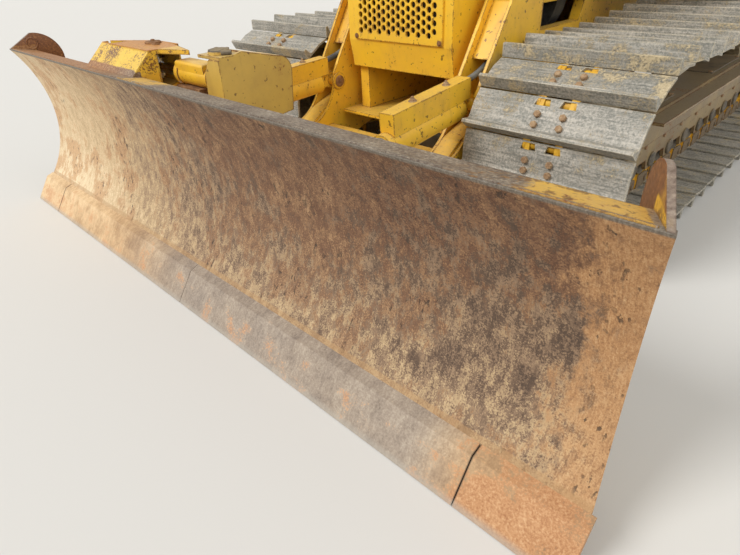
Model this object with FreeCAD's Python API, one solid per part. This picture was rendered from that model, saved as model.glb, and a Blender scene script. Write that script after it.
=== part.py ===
# Crawler dozer with wide low-pressure tracks and a power-angle-tilt blade on an inside C-frame.
# Millimetres, +Z up, ground at z = 0. The blade faces -Y, and +X is the machine's left side.
# All y values below are measured back from the cutting edge. The finished shapes are moved
# forward by half the length, so that the origin is under the middle of the machine.
import FreeCAD, Part
import math
import os
from FreeCAD import Vector as V

os.makedirs("parts", exist_ok=True)

# Overall
overall_length = 5600.0      # cutting edge to the end of the drawbar
overall_height = 3130.0      # ground to the top of the cab roof
fit = 0.05                   # radial clearance of a pin that turns in its bore
seat_gap = 0.3               # clearance of a piece that is seated but not welded

# Tracks
track_mid_x = 1113.0         # half the track gauge
shoe_width = 860.0
shoe_count = 43
grouser_height = 55.0
grouser_width = 24.0
shoe_thickness = 15.0
link_height = 95.0           # height of the chain rails inside the shoes
rail_inner = 62.0            # chain rail, from the middle of the track
rail_outer = 108.0
idler_y = 1873.0
idler_tip_radius = 528.0     # grouser tips where the track runs round the idler
sprocket_y = 4975.0
sprocket_tip_radius = 560.0
carrier_y = (3290.0, 4150.0) # top rollers
top_sag = (42.0, 10.0, 6.0)  # sag of the top run: idler to roller, roller to roller, to sprocket
roller_count = 8
roller_radius = 105.0
roller_first_y = 2340.0
roller_pitch = 305.0
carrier_radius = 85.0
sprocket_teeth = 23

# Blade
blade_half = 2038.0          # half width of the moldboard at its top corners
end_taper = 0.25             # how far the moldboard narrows at each end for each mm towards the rear
plate_taper = 0.5            # the same for the end plates behind it
end_bit_half = blade_half + 17.0
end_bit_inner = end_bit_half - 370.0    # joint between cutting edge and end bit
blade_top_y = 157.0
blade_top_z = 1004.0
blade_deep_y = 287.0         # deepest place of the curved face
blade_deep_z = 600.0
edge_seat_z = 160.0          # top of the flat that the cutting edge is bolted to
edge_slope = 0.703           # how far the edge leans back for each mm of height
edge_thickness = 28.0
edge_clear = 3.0             # blade clear of the ground
skin = 20.0                  # moldboard plate
flange_back_y = 290.0
flange_back_z = 985.0
end_plate_top = (285.0, 1088.0)

# Joints of the front end
trunnion_y, trunnion_z = 3700.0, 560.0      # C-frame hinge
trunnion_radius = 60.0
pivot_y = 560.0                              # blade angle hinge, vertical
pivot_radius = 60.0
tilt_z = 380.0                               # blade tilt hinge, lengthwise
tilt_radius = 45.0
lift_top = V(556.0, 2420.0, 1980.0)          # lift cylinder on the radiator guard
lift_foot = V(556.0, 2120.0, 760.0)          # lift cylinder in the C-frame
angle_base = V(556.0, 1610.0, 726.0)         # angle cylinder in the C-frame tower
angle_eye = V(620.0, 525.0, 652.0)           # angle cylinder at the blade carrier
tilt_base = V(0.0, 485.0, 985.0)             # tilt cylinder in the carrier's tower
tilt_eye = V(-640.0, 485.0, 985.0)           # tilt cylinder at the blade

# C-frame
tower_inner = (473.0, 493.0)                 # the two plates of a tower, in x
tower_outer = (619.0, 639.0)
tower_front_y = 1592.0                       # front edge of a tower at tower_front_z
tower_front_z = 800.0
tower_lean = 0.637
tower_top_z = 1300.0
tower_back_y = 2180.0
web_recess = 53.0
web_bottom_z = 935.0
arm_x = (500.0, 612.0)
arm_z = (470.0, 690.0)
nose_z = (300.0, 460.0)

# Machine body
guard_half = 400.0
guard_front_y = 1669.0
guard_back_y = 2500.0
guard_bottom_z = 980.0
apron_y, apron_z = 1699.0, 818.0
guard_top_z = 2040.0
sheet = 12.0
grille_half = guard_half - 61.0
grille_z = (989.0, 1960.0)
grille_thickness = 12.0
grille_hole_radius = 16.0
grille_hole_pitch = 43.5         # from hole to hole; the columns are staggered by half of it
grille_border = 40.0             # plain strip at the sides of the grille
grille_columns = 1 + int((2 * (grille_half - grille_border - grille_hole_radius)) / (grille_hole_pitch * 0.866))
grille_rows = 21
rail_x = (guard_half - 90.0, guard_half - 14.0)
rail_z = (550.0, 960.0)
bearer_top = 718.0             # cross members that carry the engine
belly_half = 440.0
belly_z = (530.0, 548.0)
hood_back_y = 3300.0
hood_rise = 60.0
door_y = (2520.0, 3240.0)
door_z = (1120.0, 1960.0)

# Cab
cab_half = 760.0
cab_y = (3310.0, 4800.0)
cab_floor_z = 1330.0
roof_thickness = 145.0
cab_wall_top_z = overall_height - roof_thickness
cab_wall = 60.0
cab_door_y = (3450.0, 4230.0)
cab_door_top_z = cab_wall_top_z - 105.0
cab_door_thickness = 45.0

y_shift = -overall_length / 2


# Outlines: a point is (a, b), and ((ma, mb), (a, b)) is an arc through the first to the second.
def outline(points, place):
    edges = []
    here = points[0]
    for item in list(points[1:]) + [points[0]]:
        if isinstance(item[0], tuple):
            mid, end = item
            edges.append(Part.Arc(place(here), place(mid), place(end)).toShape())
            here = end
        elif math.dist(here, item) > 1e-6:
            edges.append(Part.LineSegment(place(here), place(item)).toShape())
            here = item
    return Part.Face(Part.Wire(edges))


def side(points, x0, x1):
    """A (y, z) outline made solid from x0 to x1."""
    return outline(points, lambda p: V(x0, p[0], p[1])).extrude(V(x1 - x0, 0, 0))


def plan(points, z0, z1):
    """An (x, y) outline made solid from z0 to z1."""
    return outline(points, lambda p: V(p[0], p[1], z0)).extrude(V(0, 0, z1 - z0))


def front(points, y0, y1):
    """An (x, z) outline made solid from y0 to y1."""
    return outline(points, lambda p: V(p[0], y0, p[1])).extrude(V(0, y1 - y0, 0))


def box(x0, x1, y0, y1, z0, z1):
    return Part.makeBox(x1 - x0, y1 - y0, z1 - z0, V(x0, y0, z0))


def pin(start, end, radius):
    return Part.makeCylinder(radius, (end - start).Length, start, end - start)


def across(x0, x1, y, z, radius):
    """A round bar along X."""
    return pin(V(x0, y, z), V(x1, y, z), radius)


def upright(x, y, z0, z1, radius):
    return pin(V(x, y, z0), V(x, y, z1), radius)


def join(*shapes):
    whole = shapes[0].multiFuse(list(shapes[1:])) if len(shapes) > 1 else shapes[0]
    return whole.removeSplitter()


def rounded(shape, radius, wanted):
    """Rounds the edges whose middle point passes the test."""
    return shape.makeFillet(radius, [edge for edge in shape.Edges if wanted(edge.CenterOfMass)])


def turned_upright(x, y, steps):
    """A round piece turned about a vertical axis from a table of (radius, z)."""
    points = [(0.0, steps[0][1]), *steps, (0.0, steps[-1][1])]
    face = outline(points, lambda p: V(x + p[0], y, p[1]))
    return face.revolve(V(x, y, 0), V(0, 0, 1), 360)


def flip(shape):
    return shape.mirror(V(0, 0, 0), V(1, 0, 0))


def both(shape):
    return [shape, flip(shape)]


def aim(shape, start, end):
    """Moves a shape built along local +X from the origin onto the line from start to end, upright."""
    line = end - start
    flat = math.degrees(math.atan2(line.y, line.x))
    rise = math.degrees(math.atan2(line.z, math.hypot(line.x, line.y)))
    turned = shape.copy()
    turned.rotate(V(0, 0, 0), V(0, 1, 0), -rise)
    turned.rotate(V(0, 0, 0), V(0, 0, 1), flat)
    turned.translate(start)
    return turned


def save(name, *shapes):
    solids = []
    for shape in shapes:
        solids += shape.Solids
    whole = solids[0] if len(solids) == 1 else Part.makeCompound(solids)
    moved = whole.copy()
    moved.translate(V(0, y_shift, 0))
    moved.exportStep("parts/%s.step" % name)


# Tracks
shoe_lift = shoe_thickness + grouser_height      # from the path to the grouser tips
idler_radius = idler_tip_radius - shoe_lift      # path radius: inner face of the shoes
sprocket_radius = sprocket_tip_radius - shoe_lift


def top_height(y):
    """Height of the path along the top run, sagging between its supports."""
    stops = [idler_y, *carrier_y, sprocket_y]
    low, high = 2 * idler_tip_radius, 2 * sprocket_tip_radius
    heights = [low + (high - low) * (s - idler_y) / (sprocket_y - idler_y) for s in stops]
    for k in range(3):
        if y <= stops[k + 1]:
            t = (y - stops[k]) / (stops[k + 1] - stops[k])
            level = heights[k] + t * (heights[k + 1] - heights[k])
            return level - shoe_lift - 4 * top_sag[k] * t * (1 - t)
    return heights[3] - shoe_lift


def track_path():
    """Points of the closed path, from the bottom of the idler forward and round."""
    steps = 48
    points = []
    for k in range(steps + 1):
        a = -math.pi / 2 - math.pi * k / steps
        points.append((idler_y + idler_radius * math.cos(a),
                       idler_tip_radius + idler_radius * math.sin(a)))
    for k in range(1, 4 * steps):
        y = idler_y + (sprocket_y - idler_y) * k / (4 * steps)
        points.append((y, top_height(y)))
    for k in range(steps + 1):
        a = math.pi / 2 - math.pi * k / steps
        points.append((sprocket_y + sprocket_radius * math.cos(a),
                       sprocket_tip_radius + sprocket_radius * math.sin(a)))
    for k in range(1, 4 * steps):
        y = sprocket_y + (idler_y - sprocket_y) * k / (4 * steps)
        points.append((y, shoe_lift))
    return points


def even_points(path, count):
    """Points at even steps round a closed path."""
    ring = path + [path[0]]
    lengths = [0.0]
    for a, b in zip(ring, ring[1:]):
        lengths.append(lengths[-1] + math.dist(a, b))
    out = []
    k = 0
    for n in range(count):
        want = lengths[-1] * n / count
        while lengths[k + 1] < want:
            k += 1
        t = (want - lengths[k]) / (lengths[k + 1] - lengths[k])
        out.append(tuple(a + t * (b - a) for a, b in zip(ring[k], ring[k + 1])))
    return out


joint_points = even_points(track_path(), shoe_count)


def along_shoe(k, share, height):
    """A point over shoe k: share of the way along it, height outward from its inner face."""
    a = joint_points[k]
    b = joint_points[(k + 1) % shoe_count]
    length = math.dist(a, b)
    out_y, out_z = -(b[1] - a[1]) / length, (b[0] - a[0]) / length
    return (a[0] + share * (b[0] - a[0]) + out_y * height,
            a[1] + share * (b[1] - a[1]) + out_z * height)


# Profile of one shoe: share of the shoe's length, height above its inner face
shoe_profile = [(0.02, shoe_thickness), (0.05, shoe_lift), (0.05 + grouser_width / 210, shoe_lift),
                (0.24, shoe_thickness), (0.98, shoe_thickness)]


def ring(heights_out, heights_in, x0, x1):
    outer = [along_shoe(k, share, h) for k in range(shoe_count) for share, h in heights_out]
    inner = [along_shoe(k, share, h) for k in range(shoe_count) for share, h in heights_in]
    face = outline(outer, lambda p: V(x0, p[0], p[1]))
    hole = outline(inner, lambda p: V(x0, p[0], p[1]))
    length = V(x1 - x0, 0, 0)
    return face.extrude(length).cut(hole.extrude(length))


def make_track():
    half = shoe_width / 2
    shoes = ring(shoe_profile, [(0.0, 0.0)], track_mid_x - half, track_mid_x + half)
    rails = []
    for side_of in (-1, 1):
        a, b = sorted((track_mid_x + side_of * rail_inner, track_mid_x + side_of * rail_outer))
        rails.append(ring([(0.0, 4.0)], [(0.0, -link_height)], a, b))
    return join(shoes, *rails)


track = make_track()
save("track_left", track)
save("track_right", flip(track))

shoe_pitch = math.dist(joint_points[0], joint_points[1])


def tread_radius(path_radius):
    """Radius under the chain's rails, which are straight from joint to joint."""
    return math.sqrt(path_radius ** 2 - shoe_pitch ** 2 / 4) - link_height - seat_gap


idler_tread = tread_radius(idler_radius)
sprocket_tread = tread_radius(sprocket_radius)


def turned_wheel(y, z, steps):
    """A wheel turned about the X axis from a table of (x from the middle, radius)."""
    points = [(steps[0][0], 0.0), *steps, (steps[-1][0], 0.0)]
    face = outline(points, lambda p: V(track_mid_x + p[0], y, z + p[1]))
    return face.revolve(V(track_mid_x, y, z), V(1, 0, 0), 360)


# (x from the middle, radius)
idler_steps = [(-130, 60), (-rail_outer, 60), (-rail_outer, 120), (-70, 150), (-70, idler_tread - 40),
               (-rail_outer, idler_tread - 30), (-rail_outer, idler_tread),
               (-rail_inner + 6, idler_tread), (-rail_inner + 6, idler_tread + 22),
               (rail_inner - 6, idler_tread + 22), (rail_inner - 6, idler_tread),
               (rail_outer, idler_tread), (rail_outer, idler_tread - 30),
               (70, idler_tread - 40), (70, 150), (rail_outer, 120), (rail_outer, 60), (130, 60)]
idler = turned_wheel(idler_y, idler_tip_radius, idler_steps)
save("idlers", *both(idler))


def make_sprocket():
    tip, root = sprocket_tread + 40, sprocket_tread - 14
    points = []
    for k in range(sprocket_teeth):
        for share, radius in ((0.0, root), (0.3, root), (0.45, tip), (0.85, tip)):
            a = 2 * math.pi * (k + share) / sprocket_teeth
            points.append((sprocket_y + radius * math.cos(a), sprocket_tip_radius + radius * math.sin(a)))
    half = rail_inner - 12
    rim = side(points, track_mid_x - half, track_mid_x + half)
    hub = across(track_mid_x - 150, track_mid_x + 170, sprocket_y, sprocket_tip_radius, 210)
    cap = across(track_mid_x + 170, track_mid_x + 200, sprocket_y, sprocket_tip_radius, 150)
    return join(rim, hub, cap)


save("sprockets", *both(make_sprocket()))

bottom_z = shoe_lift + link_height               # top face of the chain's bottom run


def chain_underside(y):
    """Height of the underside of the chain's top run at y."""
    for a, b in zip(joint_points, joint_points[1:]):
        if a[0] <= y <= b[0] and a[1] > idler_tip_radius:
            return a[1] + (b[1] - a[1]) * (y - a[0]) / (b[0] - a[0]) - link_height
    return 2 * idler_tip_radius - shoe_lift - link_height


def roller(y, z, radius, axle_in, axle_out):
    # (x from the middle, radius)
    steps = [(-axle_in, 40), (-100, 40), (-100, radius), (-60, radius), (-56, radius + 16),
             (-44, radius + 16), (-40, radius - 14), (40, radius - 14), (44, radius + 16),
             (56, radius + 16), (60, radius), (100, radius), (100, 40), (axle_out, 40)]
    return turned_wheel(y, z, steps)


guard_x = (118.0, 140.0)                         # roller guards, from the middle of the track
stand_x = (118.0, 150.0)                         # stands of the top rollers
roller_z = bottom_z + roller_radius + seat_gap
carrier_places = []
for y in carrier_y:
    under = min(chain_underside(y + step) for step in (-30, 0, 30))
    carrier_places.append((y, under - carrier_radius - seat_gap))
rollers = [roller(roller_first_y + k * roller_pitch, roller_z, roller_radius, guard_x[1], guard_x[1])
           for k in range(roller_count)]
rollers += [roller(y, z, carrier_radius, stand_x[1] - 4, 112) for y, z in carrier_places]
save("track_rollers", *rollers, *[flip(r) for r in rollers])

# Track frames: a box beam over the rollers, guards beside them, idler fork and roller stands
frame_y = (2290.0, 4455.0)
frame_z = (400.0, 600.0)
guard_z = (215.0, 420.0)


def make_track_frame():
    beam = side([(frame_y[0], 470), (frame_y[0] + 120, frame_z[0]), (frame_y[1], frame_z[0]),
                 (frame_y[1] + 60, 470), (frame_y[1] + 60, 560), (frame_y[1], frame_z[1]),
                 (frame_y[0] + 120, frame_z[1])], track_mid_x - 150, track_mid_x + 150)
    pieces = [beam]
    ledge = side([(frame_y[0] + 60, 560), (frame_y[1], 560), (frame_y[1], 578), (frame_y[0] + 60, 578)],
                 track_mid_x + 140, track_mid_x + 250)
    pieces.append(ledge)
    for side_of in (-1, 1):
        a, b = sorted((track_mid_x + side_of * guard_x[0], track_mid_x + side_of * guard_x[1]))
        scallops = [(frame_y[0] - 60, guard_z[1]), (frame_y[0] - 60, guard_z[0] + 70)]
        for k in range(roller_count):
            y = roller_first_y + k * roller_pitch
            scallops += [(y - 90, guard_z[0] + 70), (y - 60, guard_z[0]), (y + 60, guard_z[0]),
                         (y + 90, guard_z[0] + 70)]
        scallops += [(frame_y[1] + 130, guard_z[0] + 70), (frame_y[1] + 130, guard_z[1])]
        plate = side(scallops, a, b)
        for k in range(roller_count):
            y = roller_first_y + k * roller_pitch
            plate = plate.cut(across(a - 1, b + 1, y, roller_z, 40 + seat_gap))
        pieces.append(plate)
        fork = side([(idler_y - 90, idler_tip_radius - 60), (frame_y[0] + 130, 420),
                     (frame_y[0] + 130, 590), (idler_y - 90, idler_tip_radius + 60)], a, b)
        fork = fork.cut(across(a - 1, b + 1, idler_y, idler_tip_radius, 60 + seat_gap))
        pieces.append(fork)
    x0, x1 = track_mid_x - stand_x[1], track_mid_x - stand_x[0]
    for y, z in carrier_places:
        stand = side([(y - 90, frame_z[1] - 5), (y + 90, frame_z[1] - 5), (y + 60, z), (y - 60, z)], x0, x1)
        stand = join(stand, across(x0, x1, y, z, 60))
        pieces.append(stand.cut(across(x0 - 1, x1 + 1, y, z, 40 + seat_gap)))
    return join(*pieces)


save("track_frames", *both(make_track_frame()))

# Main frame: two rails, belly plate, nose and the C-frame trunnions
shaft_y, shaft_z, shaft_radius = 4350.0, 500.0, 70.0
rail_end_y = 4600.0


def make_main_frame():
    pieces = [box(-belly_half, belly_half, 1612, 4250, belly_z[0], belly_z[1])]
    for x0, x1 in (rail_x, (-rail_x[1], -rail_x[0])):
        pieces.append(side([(guard_front_y + 70, belly_z[0]), (rail_end_y, belly_z[0]), (rail_end_y, 1180),
                            (3300, 1180), (3200, rail_z[1]), (guard_front_y + 70, rail_z[1])], x0, x1))
        pieces.append(side([(shaft_y - 130, belly_z[0] + 30), (shaft_y - 95, shaft_z - 95),
                            (shaft_y + 95, shaft_z - 95), (shaft_y + 130, belly_z[0] + 30)], x0, x1))
    for y in (2550.0, 3450.0):
        pieces.append(box(-rail_x[0], rail_x[0], y, y + 90, belly_z[0], bearer_top))
    for sign in (-1, 1):
        x0, x1 = sorted((sign * rail_x[1], sign * (arm_x[0] - 6)))
        pieces.append(side([(trunnion_y - 170, 455), (trunnion_y + 170, 455), (trunnion_y + 170, 690),
                            ((trunnion_y, 730), (trunnion_y - 170, 690))], x0, x1))
        x0, x1 = sorted((sign * rail_x[1], sign * (arm_x[1] + 14)))
        pieces.append(across(x0, x1, trunnion_y, trunnion_z, trunnion_radius - fit))
        x0, x1 = sorted((sign * (arm_x[1] + 14), sign * (arm_x[1] + 30)))
        pieces.append(across(x0, x1, trunnion_y, trunnion_z, trunnion_radius + 25))
    frame = join(*pieces)
    return frame.cut(across(-rail_x[1] - 1, rail_x[1] + 1, shaft_y, shaft_z, shaft_radius + seat_gap))


save("main_frame", make_main_frame())
shaft_half = track_mid_x - 150 - seat_gap
save("pivot_shaft", pin(V(-shaft_half, shaft_y, shaft_z), V(shaft_half, shaft_y, shaft_z), shaft_radius))

# Rear case with the final drives, and the drawbar
case_y = (rail_end_y + seat_gap, 5250.0)
case_top_z = 1200.0
rear_bolt_radius = 14.0
rear_pad = 12.0                                  # thickness of the machined pad for a winch or ripper
rear_pad_half = 330.0
rear_pad_z = (780.0, 1110.0)
rear_bolts = [(x, z) for x in (-260.0, 260.0) for z in (820.0, 1060.0)]


def make_rear_case():
    body = side([(case_y[0], 430), (case_y[1] - 80, 430), (case_y[1], 520), (case_y[1], 1120),
                 (case_y[1] - 60, case_top_z), (case_y[0], case_top_z)], -430, 430)
    body = join(body, box(-rear_pad_half, rear_pad_half, case_y[1] - 1, case_y[1] + rear_pad, *rear_pad_z))
    for x, z in rear_bolts:
        body = body.cut(pin(V(x, case_y[1] - 60, z), V(x, case_y[1] + rear_pad + 1, z), rear_bolt_radius))
    drives = []
    for sign in (-1, 1):
        x0, x1 = sorted((sign * 425, sign * (track_mid_x - 150 - seat_gap)))
        drives.append(across(x0, x1, sprocket_y, sprocket_tip_radius, 190))
    return join(body, *drives)


save("rear_case", make_rear_case())

drawbar_pin_y = overall_length - 80.0
drawbar_pin_radius = 26.0


def make_drawbar():
    base = box(-190, 190, case_y[1] + seat_gap, case_y[1] + 40, 430, 760)
    lugs = []
    for z in (500.0, 600.0):
        lug = plan([(-150, case_y[1] + 30), (-70, drawbar_pin_y), ((0, overall_length), (70, drawbar_pin_y)),
                    (150, case_y[1] + 30)], z, z + 40)
        lugs.append(lug.cut(upright(0, drawbar_pin_y, z - 1, z + 41, drawbar_pin_radius)))
    return join(base, *lugs)


save("drawbar", make_drawbar())


foot_z = (rail_z[1] + seat_gap, rail_z[1] + 30)      # feet of the radiator guard on the rails
hinge_radius = 11.0
engine_hinge = (guard_half + 12.0, 2510.0)           # x and y of the engine doors' hinge
engine_hinge_z = (1260.0, 1780.0)                    # foot of each hinge
knuckle = 45.0                                       # height of one hinge knuckle


def hinges(axis, heights, strap_end, skin_x, outward=0):
    """Hinge knuckles at the given heights, with straps along the panel to y = strap_end."""
    x, y = axis
    pieces = []
    for z in heights:
        y0, y1 = sorted((y, strap_end))
        pieces.append(join(upright(x, y, z, z + knuckle, hinge_radius),
                           box(skin_x - outward, skin_x + 7, y0, y1, z, z + knuckle)))
    return pieces


shoulder = 48.0                                      # rounding along the top of the guard and the hood


# Radiator guard: hollow box with a window, a sloping apron and the stub shafts of the lift cylinders
def make_radiator_guard():
    outer = side([(guard_front_y, guard_bottom_z), (apron_y, apron_z), (guard_back_y, apron_z + 150),
                  (guard_back_y, guard_top_z), (guard_front_y + 40, guard_top_z - 20),
                  (guard_front_y, guard_top_z - 60)], -guard_half, guard_half)
    outer = rounded(outer, shoulder, lambda p: abs(p.x) > guard_half - 1 and p.z > guard_top_z - 30)
    inner = side([(guard_front_y + 16, guard_bottom_z), (apron_y + 16, apron_z - 1),
                  (guard_back_y + 1, apron_z - 1), (guard_back_y + 1, guard_top_z - sheet),
                  (guard_front_y + 16, guard_top_z - 70)], -guard_half + sheet, guard_half - sheet)
    inner = rounded(inner, shoulder - sheet,
                    lambda p: abs(p.x) > guard_half - sheet - 1 and p.z > guard_top_z - sheet - 35)
    window = box(-grille_half + 30, grille_half - 30, guard_front_y - 1, guard_front_y + 20,
                 grille_z[0] + 30, grille_z[1] - 30)
    shell = outer.cut(inner).cut(window)
    foot = []
    for x0, x1 in (rail_x, (-rail_x[1], -rail_x[0])):
        foot.append(box(x0, x1, guard_front_y + 75, guard_back_y - 30, foot_z[0], foot_z[1]))
        sill = (x1, guard_half - sheet / 2) if x1 > 0 else (sheet / 2 - guard_half, x0)
        foot.append(box(*sill, guard_front_y + 75, guard_back_y - 30, foot_z[0], foot_z[1]))
    stubs = []
    for sign in (-1, 1):
        x0, x1 = sorted((sign * (guard_half - sheet), sign * 500.0))
        stubs.append(across(x0, x1, lift_top.y, lift_top.z, 55))
        x0, x1 = sorted((sign * 498.0, sign * 612.0))
        stubs.append(across(x0, x1, lift_top.y, lift_top.z, 35 - fit))
        x0, x1 = sorted((sign * 612.0, sign * 628.0))
        stubs.append(across(x0, x1, lift_top.y, lift_top.z, 52))
    straps = hinges(engine_hinge, engine_hinge_z, guard_back_y - 50, guard_half, 1)
    return join(shell, *stubs, *foot, *straps, *[flip(s) for s in straps])


save("radiator_guard", make_radiator_guard())


def make_grille():
    """Plate with staggered columns of round holes."""
    y0, y1 = guard_front_y - grille_thickness, guard_front_y
    column_step = grille_hole_pitch * math.sin(math.radians(60))
    middle_z = sum(grille_z) / 2
    holes = []
    for column in range(grille_columns):
        x = (column - (grille_columns - 1) / 2) * column_step
        rows = grille_rows - column % 2
        for row in range(rows):
            z = middle_z + (row - (rows - 1) / 2) * grille_hole_pitch
            holes.append(pin(V(x, y0 - 1, z), V(x, y1 + 1, z), grille_hole_radius))
    return box(-grille_half, grille_half, y0, y1, *grille_z).cut(Part.makeCompound(holes))


save("front_grille", make_grille())
save("radiator_core", box(-350, 350, guard_front_y + 110, guard_front_y + 210, foot_z[1] + seat_gap, 1950))


# Hood, side doors, engine
def hood_top(y):
    return guard_top_z + hood_rise * (y - guard_back_y) / (hood_back_y - guard_back_y)


hood_skirt_z = door_z[1] + 8


def make_hood():
    y0, y1 = guard_back_y + seat_gap, hood_back_y
    outer = side([(y0, hood_skirt_z), (y1, hood_skirt_z), (y1, hood_top(y1)), (y0, hood_top(y0))],
                 -guard_half, guard_half)
    outer = rounded(outer, shoulder, lambda p: abs(p.x) > guard_half - 1 and p.z > guard_top_z)
    inner = side([(y0 - 1, hood_skirt_z - 1), (y1 + 1, hood_skirt_z - 1), (y1 + 1, hood_top(y1) - sheet),
                  (y0 - 1, hood_top(y0) - sheet)], -guard_half + sheet, guard_half - sheet)
    inner = rounded(inner, shoulder - sheet,
                    lambda p: abs(p.x) > guard_half - sheet - 1 and p.z > guard_top_z - sheet)
    posts = []
    for sign in (-1, 1):
        x0, x1 = sorted((sign * (guard_half - sheet), sign * guard_half))
        posts.append(box(x0, x1, door_y[1] + 6, y1, 1185, hood_skirt_z + 1))
    return join(outer.cut(inner), *posts)


save("hood", make_hood())
upper_knuckles = [z + knuckle + seat_gap for z in engine_hinge_z]
louvre_y = (door_y[0] + 130, door_y[1] - 110)
louvre_count = 8
louvre_first_z = 1230.0
louvre_step = 76.0
louvre_slot = 24.0               # height of the slot
louvre_lip = 11.0                # how far the lip over a slot stands out


def make_engine_door():
    """Hinged side door with rows of slots, each under a lip that stands out."""
    door = box(guard_half - sheet, guard_half, *door_y, *door_z)
    lips = []
    for k in range(louvre_count):
        z = louvre_first_z + k * louvre_step
        door = door.cut(box(guard_half - sheet - 1, guard_half + 1, *louvre_y, z, z + louvre_slot))
        lip = [(guard_half - 5, z + louvre_slot - 3), (guard_half + louvre_lip - 4, z),
               (guard_half + louvre_lip, z), (guard_half + louvre_lip, z + 4),
               (guard_half - 1, z + louvre_slot + 12), (guard_half - 5, z + louvre_slot + 12)]
        lips.append(front(lip, *louvre_y))
    return join(door, *lips, *hinges(engine_hinge, upper_knuckles, door_y[0] + 60, guard_half, 1))


engine_door = make_engine_door()
save("engine_door_left", engine_door)
save("engine_door_right", flip(engine_door))

crank_z = 1120.0
block_y = (2340.0, 3050.0)
cylinder_count = 6
manifold_x, manifold_z = 225.0, 1440.0
fan_y = 2200.0
fan_blades = 7


def make_engine():
    """Six-cylinder engine: sump, block, head, cover, manifold, filters, flywheel housing and fan."""
    y0, y1 = block_y
    foot = box(-280, 280, 2552, 2638, bearer_top + seat_gap, 800)
    sump = front([(-120, 760), (120, 760), (185, 900), (185, 960), (-185, 960), (-185, 900)],
                 y0 + 40, y1 - 30)
    block = front([(-185, 940), (185, 940), (185, 1060), (160, 1150), (160, 1510), (-160, 1510),
                   (-160, 1150), (-185, 1060)], y0, y1)
    head = box(-150, 150, y0 + 20, y1 - 20, 1505, 1620)
    cover = rounded(box(-105, 105, y0 + 50, y1 - 50, 1610, 1720), 30, lambda p: p.z > 1719)
    housing = pin(V(0, y1 - 5, crank_z), V(0, 3180, crank_z), 285)
    pieces = [foot, sump, block, head, cover, housing]
    pieces.append(pin(V(manifold_x, y0 + 60, manifold_z), V(manifold_x, y1 - 60, manifold_z), 44))
    for k in range(cylinder_count):
        y = y0 + 100 + k * (y1 - y0 - 200) / (cylinder_count - 1)
        pieces.append(across(150, manifold_x, y, manifold_z, 26))
    pieces.append(pin(V(manifold_x, 2640, manifold_z + 90), V(manifold_x, 2800, manifold_z + 90), 88))
    pieces.append(upright(manifold_x, 2700, manifold_z, manifold_z + 60, 40))
    for y in (2480, 2600):
        pieces.append(upright(-225, y, 980, 1230, 54))
        pieces.append(box(-240, -150, y - 40, y + 40, 1210, 1260))
    pieces.append(pin(V(-200, y0 + 40, 1400), V(-200, y0 + 230, 1400), 70))
    pieces.append(pin(V(0, fan_y - 30, crank_z + 330), V(0, y0 + 1, crank_z + 330), 55))
    pieces.append(pin(V(0, y0 - 60, crank_z), V(0, y0 + 1, crank_z), 110))
    for k in range(fan_blades):
        blade = box(-42, 42, fan_y - 8, fan_y + 8, 30, 315)
        blade.rotate(V(0, fan_y, 0), V(0, 0, 1), 28)
        blade.rotate(V(0, fan_y, 0), V(0, 1, 0), 360 * k / fan_blades)
        blade.translate(V(0, 0, crank_z + 330))
        pieces.append(blade)
    return join(*pieces)


save("engine_block", make_engine())

stack_x, stack_y, stack_radius = 190.0, 2800.0, 52.0
stack_top_z = 2600.0
elbow_radius = 110.0
elbow_turn = 62.0                # degrees that the outlet turns towards the rear


def elbow(radius):
    """The outlet's bend: a disc of the given radius swung towards the rear."""
    ring = Part.Circle(V(stack_x, stack_y, stack_top_z), V(0, 0, 1), radius).toShape()
    middle = V(stack_x, stack_y + elbow_radius, stack_top_z)
    return Part.Face(Part.Wire(ring)).revolve(middle, V(1, 0, 0), -elbow_turn)


def make_exhaust():
    base_z = hood_top(stack_y + 95) + seat_gap
    stack = turned_upright(stack_x, stack_y, [(95, base_z), (95, 2270), (stack_radius, 2315),
                                              (stack_radius, stack_top_z)])
    bore_radius = stack_radius - 4
    bore = turned_upright(stack_x, stack_y, [(bore_radius, 2400), (bore_radius, stack_top_z)])
    return join(stack, elbow(stack_radius)).cut(bore).cut(elbow(bore_radius))


save("exhaust_stack", make_exhaust())
cleaner_x, cleaner_y = -190.0, 2950.0
cleaner_z = hood_top(cleaner_y + 60) + seat_gap
# (radius, z)
cleaner_steps = [(60, cleaner_z), (60, 2275), (112, 2290), (120, 2305), (120, 2345), (104, 2350), (104, 2362),
                 (120, 2367), (118, 2405), (90, 2435), (30, 2446)]
save("air_precleaner", turned_upright(cleaner_x, cleaner_y, cleaner_steps))

# Cab: floor, shell with cut windows, roof, doors, seat and consoles
save("cab_floor", join(box(-cab_half, cab_half, cab_y[0], cab_y[1], cab_floor_z - 90, cab_floor_z),
                       box(-420, 420, cab_y[0] + 60, cab_y[1] - 250, 1180 + seat_gap, cab_floor_z - 80)))


cab_hinge = (cab_half + 12.0, cab_door_y[1] - 1.0)         # x and y of the cab doors' hinge
cab_hinge_z = (1500.0, cab_door_top_z - 280.0)


window_top_z = cab_wall_top_z - 125.0
windscreen_sill_z = 1950.0
rear_window_sill_z = 2120.0
side_window_sill_z = 2020.0
window_half = cab_half - 140.0    # front and rear windows, at the sill
window_flare = 40.0              # how much wider the windscreen is at its top
cab_corner_front = 90.0
cab_corner_rear = 55.0


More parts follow.
